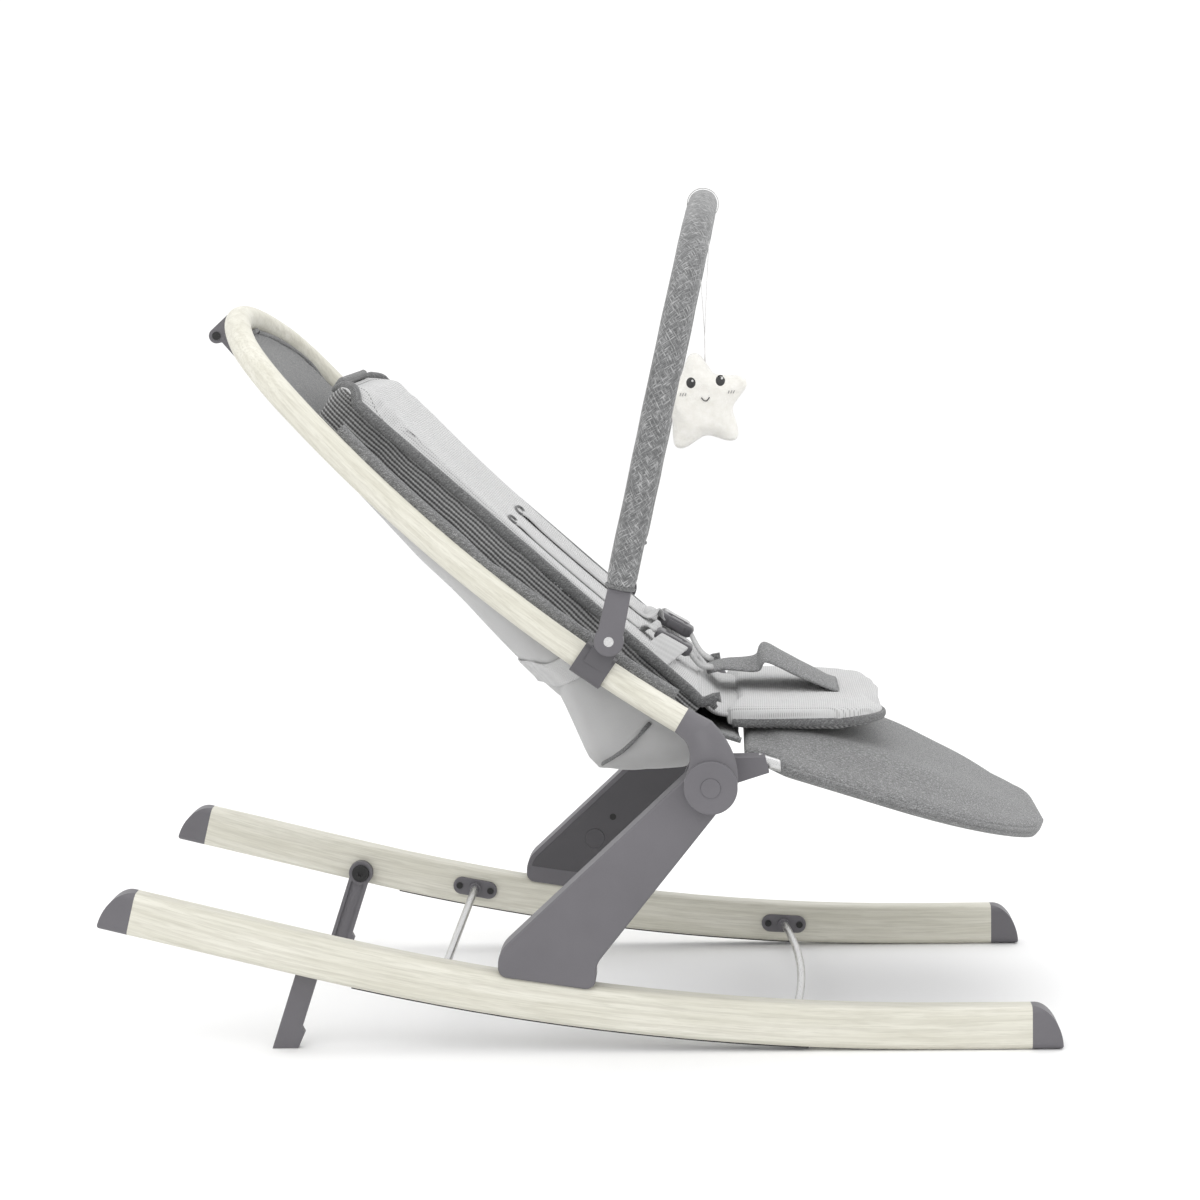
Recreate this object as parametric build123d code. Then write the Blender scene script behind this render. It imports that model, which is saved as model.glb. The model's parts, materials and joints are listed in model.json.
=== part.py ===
from build123d import *
import os
from math import asin, atan2, cos, degrees, radians, sin, sqrt, tan

# Baby bouncer seat on two rockers, in millimetres and degrees.
# +X points to the foot end, +Y to the occupant's left, +Z up.
# The origin is on the floor, in the middle of the object.

# ---- Clearances ----------------------------------------------------------
running_fit = 0.05        # radial gap of a turning shaft in its bore
slip_gap = 0.3            # gap between faces that move past each other
spigot_gap = 0.1          # gap around a plug or spigot in a tube
fabric_gap = 1.0          # gap between a soft piece and its neighbours

# ---- Rockers -------------------------------------------------------------
rocker_spacing = 380.0    # centre to centre
rocker_width = 24.0
rocker_height = 35.5
rocker_corner = 6.0
rocker_wall = 2.0
rocker_front = 365.0      # X of the front end of the tube
rocker_flat_start = 298.0  # X where the flat front foot turns into the curve
rocker_bend_radius = 2140.0
rocker_rear_slope = 14.0  # slope of the straight rear part
rocker_rear_length = 151.8
cap_length = 25.0
cap_toe_radius = 3.0
cap_plug_length = 16.0
strip_front = 185.0       # X of the ends of the anti-slip strip
strip_rear = -185.0
strip_width = 13.0
strip_thickness = 1.0

# ---- Cross rods ----------------------------------------------------------
rod_diameter = 7.0
rear_rod_x = -117.0
front_rod_x = 172.0
front_rod_bow = 11.0
plate_length = 41.0
plate_height = 16.0
plate_thickness = 3.0
plate_boss_radius = 5.5
plate_boss_length = 4.0
plate_screw_spacing = 29.0
small_screw_radius = 1.5
small_head_radius = 3.0
small_head_height = 1.4
plate_screw_grip = 6.0    # shank length below the head
plate_edge = 0.6

# ---- Kickstands ----------------------------------------------------------
kick_pivot_x = -219.5
kick_pivot_z = 74.2
kick_lean = 18.5          # lean from the vertical when deployed
kick_width = 18.0
kick_head_radius = 11.0
kick_thickness = 8.0
kick_channel_depth = 3.0
kick_rim = 3.0
kick_bump_height = 20.0
kick_bump_width = 3.5
kick_bolt_radius = 4.0
kick_bolt_head_radius = 8.0
kick_bolt_head_height = 2.5
kick_bolt_grip = 8.0      # shank length inside the rocker
kick_bolt_edge = 1.0
kick_socket_radius = 2.5
kick_socket_depth = 1.5

# ---- Hubs and legs -------------------------------------------------------
hub_x = 108.8
hub_z = 219.4
hub_radius = 21.5
leg_outer_wall = 3.0
leg_saddle_wall = 2.5     # cheek of the leg beside the rocker
leg_upper_offset = 18.6   # distance from the hub axis to the leg's upper edge
leg_head_radius = 20.5
leg_upper_angle = 42.7
leg_lower_offset = 18.0   # distance from the hub axis to the leg's lower edge
leg_lower_angle = 51.1
leg_foot_rear = -65.0
leg_foot_front = 14.0
leg_foot_drop = 2.5       # how far the leg's cheeks reach below the rocker's top
leg_heel_radius = 24.0
leg_toe_radius = 8.0
leg_neck_radius = 22.0
leg_edge_radius = 2.0
leg_pocket_margin = 4.0
leg_pocket_rise = 12.0    # bottom of the pocket above the rocker's top
cover_thickness = 2.5
cover_screw_x = 16.0
cover_screw_z = 124.0
cover_boss_radius = 4.5
cover_screw_length = 12.0
plug_x = -1.0
plug_z = 104.0
plug_radius = 9.0
plug_proud = 0.5
plug_edge = 0.4
leg_screw_xs = (-46.0, -2.0)
leg_screw_radius = 2.5
leg_screw_head_radius = 4.0
leg_screw_head_height = 3.0
leg_screw_reach = 9.0
leg_screw_access_radius = 4.5
shaft_radius = 5.0
shaft_head_radius = 8.0
shaft_head_height = 1.7

# ---- Hip elbows, hub caps and release buttons ----------------------------
cheek_thickness = 9.7
cheek_floor = 2.5         # wall under the shaft head
elbow_neck_x = 98.4
elbow_neck_z = 263.0
elbow_neck_slope = 60.0
elbow_neck_width = 27.5
elbow_neck_depth = 22.0
elbow_neck_shift = 11.0   # outward shift of the neck from the rail
elbow_shoulder_x = 109.3
elbow_shoulder_z = 245.5
elbow_shoulder_slope = 85.0
elbow_shoulder_width = 34.5
elbow_shoulder_depth = 19.0
elbow_shoulder_shift = 5.5  # inward shift of the shoulder from the cheek
elbow_root_play = 1.0     # how much slimmer the elbow's low end is than the cheek
hub_cap_thickness = 3.5
hub_cap_edge = 1.2
button_radius = 7.9
button_proud = 0.8
button_edge = 0.5
button_flange_radius = 9.2
button_flange_height = 1.2
button_pocket_radius = 9.6
spring_radius = 8.6       # of the coil's centreline, around the shaft's head
spring_wire = 0.6
spring_turns = 3
elbow_sweep_gap = 2.0     # clearance inside the elbow to the leg's round head and upper edge
spigot_length = 14.0

# ---- Seat loop -----------------------------------------------------------
tube_diameter = 22.0
tube_wall = 1.5
hip_end_x = 86.0          # lower end of the loop tube
hip_inset = 22.8          # from the hub cheek's inner face to the rail's lower end
hip_end_z = 269.0
hip_slope = 31.0
head_slope = 48.0
rail_bend_radius = 1384.0
rail_toe_in = 5.4
head_top_radius = 255.0
head_corner_radius = 72.0
head_top_half_angle = 26.0

# ---- Leg rest ------------------------------------------------------------
arm_thickness = 9.0
arm_root_upper = 17.5     # distances of the arm's edges from the hub axis, at its root
arm_root_lower = 9.5
arm_tip_x = 154.5
arm_tip_z = 230.5
arm_tip_radius = 6.5
arm_reach_in = 15.0       # how far the arm's tip reaches inside the cheek
rest_tube_diameter = 10.0
rest_front_x = 372.0
rest_front_z = 160.0
rest_corner_radius = 110.0
rest_spigot = 16.0
arm_socket_wall = 2.0

# ---- Head bracket --------------------------------------------------------
bracket_width = 26.0
bracket_height = 30.0
bracket_root = 1.0        # how much farther back the bracket's low end reaches
bracket_eye_radius = 6.5
bracket_front = 5.0       # how far behind the tube's centreline the bracket's inner edge lies
bracket_pin_radius = 2.5
bracket_pin_head = 3.5
bracket_pin_cap = 1.2
bracket_pin_up = 3.9      # place of the pin, along the head slope
bracket_pin_back = 25.0   # place of the pin, behind the tube's centreline

# ---- Toy bar -------------------------------------------------------------
bar_pivot_x = 29.0
bar_pivot_z = 335.8
bar_lean = 77.2           # angle of the bar's plane above the horizontal
bar_reach = 356.6         # pivot axis to the centreline's top
lug_proud = 0.8           # how far the clamp's lug stands out of its block
bar_top_radius = 300.0
bar_top_half_angle = 22.0
bar_rod_diameter = 10.0
sleeve_diameter = 25.0
sleeve_start = 43.0       # distance from the pivot axis to the sleeve's end
fitting_radius = 12.0
fitting_neck_width = 19.0
fitting_thickness = 12.0
fitting_edge = 1.5
fitting_wall = 4.0        # between the eye and the rod's end
clamp_x = 15.7
clamp_length = 28.0
clamp_wall = 2.5
clamp_corner = 6.0
clamp_web_up = 9.0        # reach of the lug's web along the clamp, up and down the rail
clamp_web_down = 13.0
clamp_web_extra = 4.0     # how much thicker the web is than the lug
lug_radius = 10.0
lug_thickness = 5.0
bar_screw_radius = 2.5
bar_screw_head_radius = 4.0
bar_screw_head_height = 2.0
bar_screw_grip = 4.0

# ---- Toy -----------------------------------------------------------------
star_x = 104.0
star_z = 515.0
star_outer_radius = 52.0
star_inner_radius = 29.0
star_thickness = 30.0
star_round = 7.0
star_turn = 8.0
ribbon_width = 10.0
ribbon_thickness = 0.8
ribbon_sewn = 5.0

# ---- Soft pieces ---------------------------------------------------------
cover_cloth = 3.0
cover_side_inset = 32.0   # from the rail's lower end
sling_side_inset = 32.0   # from the rail's lower end
sling_cloth = 4.0
sling_open_steps = 4      # steps of one cloth thickness that open the bag's top
sling_floor_z = 219.0
sling_hip_x = 84.0
sling_rear_x = 8.0
sling_gap_below_tube = 1.0
sling_corner = 9.0
sling_head_slope = 44.5
sling_middle_slope = 39.8
sling_middle_depth = 26.0
sling_low_slope = 34.6
sling_low_depth = 46.0
sling_front_z = 236.0
cover_dip_x = 101.0
cover_dip_z = 256.0
cover_front_x = 134.0
cover_front_z = 249.0
loop_outline_steps = 60
rest_pad_front_x = 390.5
rest_pad_rear_x = 136.0
rest_pad_knee_x = 215.0
rest_pad_shin_x = 305.0
rest_pad_nose = 13.0
rest_pad_rear_top = 248.5
rest_pad_knee_top = 241.0
rest_pad_shin_top = 206.5
rest_pad_nose_top = 168.5
rest_pad_rear_low = 243.0
rest_pad_knee_low = 210.0
rest_pad_shin_low = 176.5
rest_pad_nose_low = 151.0
rest_pad_side_gap = 7.5   # from the leg's inner face
rest_pad_corner = 135.0
back_pad_half_width = 128.0
back_pad_corner = 60.0
back_pad_low_slope = 30.2
back_pad_high_slope = 47.5
back_pad_low_hip = 8.0        # heights above the rails' line
back_pad_low_head = 18.0
back_pad_hip_height = 18.0
back_pad_middle_height = 38.0
back_pad_head_height = 46.0
seat_pad_half_width = 118.0
seat_pad_corner = 55.0
seat_pad_rear_x = 122.0
seat_pad_front_x = 256.0
seat_pad_rear_z = 254.0
seat_pad_front_z = 251.0
seat_pad_thickness = 17.0
flap_half_width = 42.0
flap_front_x = 214.0
flap_peak_x = 157.0
flap_peak_z = 306.0
flap_rear_x = 104.0
flap_rear_z = 292.0
flap_thickness = 5.0
strap_width = 25.0
strap_thickness = 2.5
shoulder_strap_y = 46.0
strap_low_slope = 33.6
strap_high_slope = 40.5
strap_low_height = 34.0
strap_middle_height = 42.0
strap_high_height = 47.0
buckle_x = 79.0
buckle_y = 62.0
buckle_z = 318.0
buckle_slope = 30.0
buckle_corner = 7.0
buckle_edge = 3.0
waist_strap_end_y = 112.0
buckle_length = 34.0
buckle_width = 30.0
buckle_thickness = 12.0

# ---- Derived values ------------------------------------------------------
rocker_y = rocker_spacing / 2
rocker_inner_y = rocker_y - rocker_width / 2
rocker_outer_y = rocker_y + rocker_width / 2
leg_outer_y = rocker_outer_y + leg_saddle_wall
leg_inner_y = rocker_inner_y - leg_saddle_wall
cheek_inner_y = leg_outer_y + slip_gap
cheek_outer_y = cheek_inner_y + cheek_thickness
cap_outer_y = cheek_outer_y + hub_cap_thickness
arm_outer_y = leg_inner_y - slip_gap
arm_inner_y = arm_outer_y - arm_thickness
hip_end_y = cheek_inner_y - hip_inset
sling_half_width = hip_end_y - sling_side_inset
cover_half_width = hip_end_y - cover_side_inset
rest_pad_half_width = leg_inner_y - rest_pad_side_gap
tube_radius = tube_diameter / 2
sleeve_radius = sleeve_diameter / 2
hub_point = Vector(hub_x, 0, hub_z)
sides = {"left": 1, "right": -1}
big = 1000.0              # larger than the object, for cutting blocks


def export_node(shape, name):
    """Write one node's solids to its own STEP file."""
    shape.label = name
    export_step(shape, f"parts/{name}.step")


def mirrored(shape, side):
    """Pieces are modelled on the +Y side; the right one is the mirror image."""
    return shape if side > 0 else mirror(shape, about=Plane.XZ)


def polar(angle, distance=1.0):
    """A vector in the XZ plane, at an angle above +X."""
    return Vector(distance * cos(radians(angle)), 0, distance * sin(radians(angle)))


def side_prism(face, y_low, y_high):
    """Extrude a face drawn in the XZ plane from one Y to another."""
    return Pos(0, y_low, 0) * extrude(face, amount=y_high - y_low, dir=(0, 1, 0))


def side_face(points):
    """A straight-sided face in the XZ plane through (x, z) points."""
    return make_face(Polyline([(x, 0, z) for x, z in points], close=True))


def y_cylinder(x, z, radius, y_low, y_high):
    """A cylinder along Y."""
    plane = Plane(origin=(x, y_low, z), x_dir=(1, 0, 0), z_dir=(0, 1, 0))
    return extrude(plane * Circle(radius), amount=y_high - y_low)


# ---- Rocker geometry -----------------------------------------------------
def rocker_angle(x):
    """Slope of the rocker above X, in degrees."""
    reach = max(0.0, rocker_flat_start - x)
    return min(rocker_rear_slope, degrees(asin(reach / rocker_bend_radius)))


def rocker_point(x, height):
    """The point a height above the underside, where the underside is at X."""
    angle = rocker_angle(x)
    bend_x = rocker_flat_start - rocker_bend_radius * sin(radians(rocker_rear_slope))
    straight = max(0.0, bend_x - x) / cos(radians(rocker_rear_slope))
    foot_x = x if x > rocker_flat_start else rocker_flat_start - rocker_bend_radius * sin(radians(angle))
    foot_z = 0 if x > rocker_flat_start else rocker_bend_radius * (1 - cos(radians(angle)))
    foot = Vector(foot_x, 0, foot_z) + polar(180 - angle, straight)
    return foot + polar(90 - angle, height)


def rocker_line_z(x, height):
    """Z of the line at a height above the underside, where that line itself passes X in the curve."""
    return rocker_bend_radius - sqrt((rocker_bend_radius - height) ** 2 - (rocker_flat_start - x) ** 2)


def rocker_rear_x():
    """X of the rear end of the underside."""
    slope = radians(rocker_rear_slope)
    return rocker_flat_start - rocker_bend_radius * sin(slope) - rocker_rear_length * cos(slope)


def rocker_path(height, x_front, x_rear):
    """The line of the rocker at a height above its underside."""
    front = rocker_point(x_front, height)
    rear = rocker_point(x_rear, height)
    bend_rear_x = rocker_flat_start - rocker_bend_radius * sin(radians(rocker_rear_slope))
    arc_front = rocker_point(min(x_front, rocker_flat_start), height)
    arc_rear = rocker_point(max(x_rear, bend_rear_x), height)
    arc_middle = rocker_point((arc_front.X + arc_rear.X) / 2, height)
    edges = [ThreePointArc(arc_front, arc_middle, arc_rear)]
    if x_front > rocker_flat_start:
        edges.insert(0, Line(front, arc_front))
    if x_rear < bend_rear_x:
        edges.append(Line(arc_rear, rear))
    return Wire(edges)


def rocker_sweep(grow):
    """Rounded-rectangle bar along the rocker's line, grown on all sides."""
    path = rocker_path(rocker_height / 2, rocker_front, rocker_rear_x())
    plane = Plane(origin=path @ 0, x_dir=(0, 1, 0), z_dir=path % 0)
    section = RectangleRounded(rocker_width + 2 * grow, rocker_height + 2 * grow, rocker_corner + grow)
    return Pos(0, rocker_y, 0) * sweep(plane * section, path=path)


def rocker_tube():
    """Hollow tube of the rocker."""
    return rocker_sweep(0) - rocker_sweep(-rocker_wall)


def end_cap():
    """Cap with a quarter-ellipse nose along +X and a plug along -X, bottom edge at Z = 0."""
    nose = EllipticalCenterArc((0, 0), cap_length, rocker_height, start_angle=0, arc_size=90)
    outline = make_face(Curve() + [nose, Line((0, rocker_height), (0, 0)), Line((0, 0), (cap_length, 0))])
    toe = outline.vertices().sort_by(Axis.X)[-1]
    outline = fillet(toe, cap_toe_radius)
    body = extrude(Plane.XZ * outline, amount=rocker_width / 2, both=True)
    middle = Pos(0, 0, rocker_height / 2)
    section = Plane.YZ * RectangleRounded(rocker_width, rocker_height, rocker_corner)
    body = body & extrude(middle * section, amount=2 * cap_length)
    play = 2 * (rocker_wall + spigot_gap)
    plug_section = RectangleRounded(rocker_width - play, rocker_height - play, rocker_corner - rocker_wall)
    plug = extrude(middle * (Plane.YZ * plug_section), amount=-cap_plug_length)
    return body + plug


def front_cap():
    return Pos(rocker_front, rocker_y, 0) * end_cap()


def rear_cap():
    """The same cap turned round and tilted to the rear end's slope."""
    place = rocker_point(rocker_rear_x(), 0)
    turned = Rot(0, rocker_rear_slope, 0) * (mirror(end_cap(), about=Plane.YZ))
    return Pos(place.X, rocker_y, place.Z) * turned


def grip_strip():
    """Thin strip under the curved middle of the rocker."""
    path = rocker_path(-strip_thickness / 2, strip_front, strip_rear)
    plane = Plane(origin=path @ 0, x_dir=(0, 1, 0), z_dir=path % 0)
    section = plane * Rectangle(strip_width, strip_thickness)
    return Pos(0, rocker_y, 0) * sweep(section, path=path)


# ---- Cross rods ----------------------------------------------------------
def rod_height_point(x):
    return rocker_point(x, rocker_height / 2)


def rod_reach():
    """Half length of a rod between the rod plates' inner walls."""
    return rocker_inner_y - plate_thickness / 2


def cross_rod(x, bow):
    """Steel rod across the object, bowed towards the foot end."""
    middle = rod_height_point(x)
    reach = rod_reach()
    if bow == 0:
        return y_cylinder(middle.X, middle.Z, rod_diameter / 2, -reach, reach)
    path = ThreePointArc(
        (middle.X, -reach, middle.Z), (middle.X + bow, 0, middle.Z), (middle.X, reach, middle.Z)
    )
    plane = Plane(origin=path @ 0, z_dir=path % 0)
    return sweep(plane * Circle(rod_diameter / 2), path=path)


def plate_screw_places(x):
    """Centres of a plate's two screws, along the rocker's slope."""
    middle = rod_height_point(x)
    along = polar(-rocker_angle(x), plate_screw_spacing / 2)
    return [middle + along, middle - along]


def rod_plate(x, rod):
    """Stadium plate on the rocker's inner face, with a boss around the rod's end."""
    middle = rod_height_point(x)
    tilt = polar(-rocker_angle(x))
    plane = Plane(origin=(middle.X, rocker_inner_y, middle.Z), x_dir=tilt, z_dir=(0, -1, 0))
    plate = extrude(plane * SlotOverall(plate_length, plate_height), amount=plate_thickness)
    plate = chamfer(plate.faces().sort_by(Axis.Y)[0].edges(), plate_edge)
    boss_end = rocker_inner_y - plate_thickness - plate_boss_length
    plate += y_cylinder(middle.X, middle.Z, plate_boss_radius, boss_end, rocker_inner_y - plate_thickness)
    plate -= rod
    for place in plate_screw_places(x):
        plate -= plate_screw(place)
    return plate


def plate_screw(place):
    """Small pan-head screw through a rod plate into the rocker."""
    face_y = rocker_inner_y - plate_thickness
    head = y_cylinder(place.X, place.Z, small_head_radius, face_y - small_head_height, face_y)
    shank = y_cylinder(place.X, place.Z, small_screw_radius, face_y, face_y + plate_screw_grip)
    return head + shank


# ---- Kickstands ----------------------------------------------------------
def kickstand_prism(inset, y_low, y_high):
    """Side outline of the kickstand, pulled in by an inset, as a solid between two Y values."""
    pivot = Vector(kick_pivot_x, 0, kick_pivot_z)
    down = polar(-90 - kick_lean)
    across = polar(-kick_lean)
    half = kick_width / 2 - inset
    reach = 1 / cos(radians(kick_lean))
    length = kick_pivot_z * reach + kick_width
    corners = [pivot + across * half, pivot - across * half]
    corners += [corners[1] + down * length, corners[0] + down * length]
    body = side_prism(side_face([(c.X, c.Z) for c in corners]), y_low, y_high)
    body += y_cylinder(kick_pivot_x, kick_pivot_z, kick_head_radius - inset, y_low, y_high)
    if inset == 0:
        start = pivot + across * half + down * ((kick_pivot_z - kick_bump_height) * reach)
        tip = start + across * kick_bump_width + down * kick_bump_width
        foot = pivot + across * half + down * length
        bump = [start, tip, foot, foot - across * half]
        body += side_prism(side_face([(c.X, c.Z) for c in bump]), y_low, y_high)
    above_floor = side_face([(-big, inset), (big, inset), (big, big), (-big, big)])
    return body & side_prism(above_floor, y_low, y_high)


def kickstand():
    """Prop that stops the rocking; it turns on a bolt in the rocker's inner face."""
    outer_y = rocker_inner_y - slip_gap
    inner_y = outer_y - kick_thickness
    body = kickstand_prism(0, inner_y, outer_y)
    channel = kickstand_prism(kick_rim, inner_y, inner_y + kick_channel_depth)
    hub = y_cylinder(kick_pivot_x, kick_pivot_z, kick_head_radius, inner_y, outer_y)
    body = body - channel + hub
    return body - y_cylinder(kick_pivot_x, kick_pivot_z, kick_bolt_radius + running_fit, inner_y, outer_y)


def kickstand_bolt():
    face_y = rocker_inner_y - slip_gap - kick_thickness - slip_gap
    head_y = face_y - kick_bolt_head_height
    head = y_cylinder(kick_pivot_x, kick_pivot_z, kick_bolt_head_radius, head_y, face_y)
    head = fillet(head.faces().sort_by(Axis.Y)[0].edges(), kick_bolt_edge)
    shank = y_cylinder(kick_pivot_x, kick_pivot_z, kick_bolt_radius, face_y, rocker_inner_y + kick_bolt_grip)
    plane = Plane(origin=(kick_pivot_x, head_y, kick_pivot_z), z_dir=(0, 1, 0))
    socket = extrude(plane * RegularPolygon(kick_socket_radius, 6), amount=kick_socket_depth)
    return head + shank - socket


# ---- Legs ----------------------------------------------------------------
def leg_outline():
    """Side outline of the leg: a round head at the hub and a foot over the rocker."""
    upper_dir = polar(180 + leg_upper_angle)
    lower_dir = polar(180 + leg_lower_angle)
    upper_start = hub_point + polar(90 + leg_upper_angle, leg_upper_offset)
    lower_start = hub_point + polar(leg_lower_angle - 90, leg_lower_offset)
    heel_run = (upper_start.X - leg_foot_rear) / -upper_dir.X
    neck_run = (lower_start.X - leg_foot_front) / -lower_dir.X
    heel = upper_start + upper_dir * heel_run
    neck = lower_start + lower_dir * neck_run
    foot_height = rocker_height - leg_foot_drop
    rear_low = Vector(leg_foot_rear, 0, rocker_line_z(leg_foot_rear, foot_height))
    front_low = Vector(leg_foot_front, 0, rocker_line_z(leg_foot_front, foot_height))
    face = side_face([
        (hub_x, hub_z),
        (upper_start.X, upper_start.Z),
        (heel.X, heel.Z),
        (rear_low.X, rear_low.Z),
        (front_low.X, front_low.Z),
        (neck.X, neck.Z),
        (lower_start.X, lower_start.Z),
    ])
    for place, radius in (
        (heel, leg_heel_radius),
        (neck, leg_neck_radius),
        (rear_low, leg_toe_radius),
        (front_low, leg_toe_radius),
    ):
        corner = face.vertices().sort_by_distance(place)[0]
        face = fillet(corner, radius)
    head = Plane(origin=hub_point, z_dir=(0, -1, 0)) * Circle(leg_head_radius)
    return (face + head).faces().sort_by(SortBy.AREA)[-1]


def leg_pocket_outline(gap):
    """Outline of the hollow inside the leg; with a gap, that of the inner cover that closes it."""
    inner = offset(leg_outline(), amount=-(leg_pocket_margin + gap), kind=Kind.ARC)
    floor_height = rocker_height + leg_pocket_rise + gap
    floor_ends = [(x, rocker_line_z(x, floor_height)) for x in (leg_foot_rear, leg_foot_front)]
    below = [(leg_foot_front, -big), (leg_foot_rear, -big)]
    head = Plane(origin=hub_point, z_dir=(0, -1, 0)) * Circle(hub_radius + leg_pocket_margin + gap)
    return (inner - side_face(floor_ends + below) - head).faces().sort_by(SortBy.AREA)[-1]


def leg_shell(fixings, cover_screw):
    """Hollow moulding from the hub down to a saddle over the rocker, open on its inner side."""
    body = side_prism(leg_outline(), leg_inner_y, leg_outer_y)
    body = fillet(body.faces().sort_by(Axis.Y)[-1].edges(), leg_edge_radius)
    pocket = side_prism(leg_pocket_outline(0), leg_inner_y, leg_outer_y - leg_outer_wall)
    boss_inner_y = leg_inner_y + cover_thickness
    boss_outer_y = leg_outer_y - leg_outer_wall
    boss = y_cylinder(cover_screw_x, cover_screw_z, cover_boss_radius, boss_inner_y, boss_outer_y)
    body = body - pocket + boss
    body -= rocker_sweep(spigot_gap)
    body -= y_cylinder(hub_x, hub_z, shaft_radius + running_fit, leg_inner_y, leg_outer_y)
    body -= cover_screw
    for fixing in fixings:
        body -= fixing
    return body.solids().sort_by(SortBy.VOLUME)[-1]


def leg_inner_cover(cover_screw):
    """Flush panel that closes the leg, with a hole for the round plug."""
    outline = leg_pocket_outline(spigot_gap)
    panel = side_prism(outline, leg_inner_y, leg_inner_y + cover_thickness)
    panel -= y_cylinder(plug_x, plug_z, plug_radius + spigot_gap, leg_inner_y, leg_inner_y + cover_thickness)
    return panel - cover_screw


def leg_plug():
    plug = y_cylinder(plug_x, plug_z, plug_radius, leg_inner_y - plug_proud, leg_inner_y + cover_thickness)
    return fillet(plug.faces().sort_by(Axis.Y)[0].edges(), plug_edge)


def leg_cover_screw():
    """Countersunk-style screw through the inner cover into a boss of the shell."""
    head_end = leg_inner_y + small_head_height
    tip = leg_inner_y + cover_screw_length
    head = y_cylinder(cover_screw_x, cover_screw_z, small_head_radius, leg_inner_y, head_end)
    shank = y_cylinder(cover_screw_x, cover_screw_z, small_screw_radius, leg_inner_y, tip)
    return head + shank


def leg_fixing_screw(x):
    """Screw from inside the rocker up into the leg's foot, with its head under the top wall."""
    angle = rocker_angle(x)
    up = polar(90 - angle)
    seat_height = rocker_height - rocker_wall
    seat = rocker_point(x, seat_height) + Vector(0, rocker_y, 0)
    plane = Plane(origin=seat, z_dir=up)
    head = extrude(plane * Circle(leg_screw_head_radius), amount=-leg_screw_head_height)
    shank = extrude(plane * Circle(leg_screw_radius), amount=rocker_wall + leg_screw_reach)
    return head + shank


def leg_screw_access(x):
    """Hole in the rocker's bottom wall, under the grip strip, that a screw goes in through."""
    angle = rocker_angle(x)
    start = rocker_point(x, 0) + Vector(0, rocker_y, 0)
    plane = Plane(origin=start, z_dir=polar(90 - angle))
    return extrude(plane * Circle(leg_screw_access_radius), amount=rocker_height / 2)


# ---- Seat loop -----------------------------------------------------------
# The rails lie on a wide arc in side view. back_point gives the point at a slope angle and at a
# height above the rails' line, on the occupant's side.
bend_centre = Vector(hip_end_x, 0, hip_end_z) + polar(90 - hip_slope, rail_bend_radius)


def back_point(slope, height):
    return bend_centre - Vector(sin(radians(slope)), 0, cos(radians(slope))) * (rail_bend_radius - height)


def head_plane_point(up, height):
    """Past the rails the head end goes on straight at the head slope."""
    return back_point(head_slope, height) + polar(180 - head_slope, up)


def rail_direction(slope):
    """Unit tangent of the left rail towards the head, at a slope."""
    run = Vector(-cos(radians(slope)), -cos(radians(slope)) * tan(radians(rail_toe_in)), sin(radians(slope)))
    return run.normalized()


def rail_y(x):
    """Y of the left rail's centreline at X."""
    return hip_end_y - (hip_end_x - x) * tan(radians(rail_toe_in))


def rail_point(slope):
    place = back_point(slope, 0)
    return Vector(place.X, rail_y(place.X), place.Z)


def rail_slope_at(x):
    """Slope of the rail where its centreline passes X."""
    return degrees(asin((bend_centre.X - x) / rail_bend_radius))


def loop_path():
    """Rails and head bow of the loop, as tangent arcs from the left hip round to the right hip."""
    start = rail_point(hip_slope)
    middle = rail_point((hip_slope + head_slope) / 2)
    joint = rail_point(head_slope)
    rail = Spline(start, middle, joint, tangents=[rail_direction(hip_slope), rail_direction(head_slope)])
    up = polar(180 - head_slope)
    heading = rail_direction(head_slope)
    start_angle = degrees(atan2(-heading.Y, heading.dot(up)))
    turn = radians(90 - head_top_half_angle - start_angle)
    inward = Vector(0, -cos(radians(start_angle)), 0) - up * sin(radians(start_angle))
    corner_centre = joint + inward * head_corner_radius

    def corner_point(angle):
        return corner_centre - (inward * cos(angle) - heading * sin(angle)) * head_corner_radius

    corner_end = corner_point(turn)
    top_direction = heading * cos(turn) + inward * sin(turn)
    rise = corner_end.Y * tan(radians(head_top_half_angle) / 2)
    top = corner_end + up * rise - Vector(0, corner_end.Y, 0)
    corner = ThreePointArc(joint, corner_point(turn / 2), corner_end)

    def flipped(point):
        return Vector(point.X, -point.Y, point.Z)

    bow = ThreePointArc(corner_end, top, flipped(corner_end))
    other_corner = ThreePointArc(flipped(corner_end), flipped(corner_point(turn / 2)), flipped(joint))
    other_rail = Spline(
        flipped(joint), flipped(middle), flipped(start),
        tangents=[-1 * flipped(rail_direction(head_slope)), -1 * flipped(rail_direction(hip_slope))],
    )
    return Wire([rail, corner, bow, other_corner, other_rail])


def loop_tube():
    path = loop_path()
    plane = Plane(origin=path @ 0, z_dir=path % 0)
    outer = sweep(plane * Circle(tube_radius), path=path)
    return outer - sweep(plane * Circle(tube_radius - tube_wall), path=path)


def head_top():
    """The loop's centreline at its highest point."""
    return loop_path() @ 0.5


# ---- Hip elbows ----------------------------------------------------------
def elbow_section(x, y, z, direction, width, depth):
    """Ellipse across the elbow: width in side view, depth along Y."""
    plane = Plane(origin=(x, y, z), x_dir=Vector(0, 1, 0).cross(direction), z_dir=direction)
    return plane * Ellipse(width / 2, depth / 2)


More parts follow.
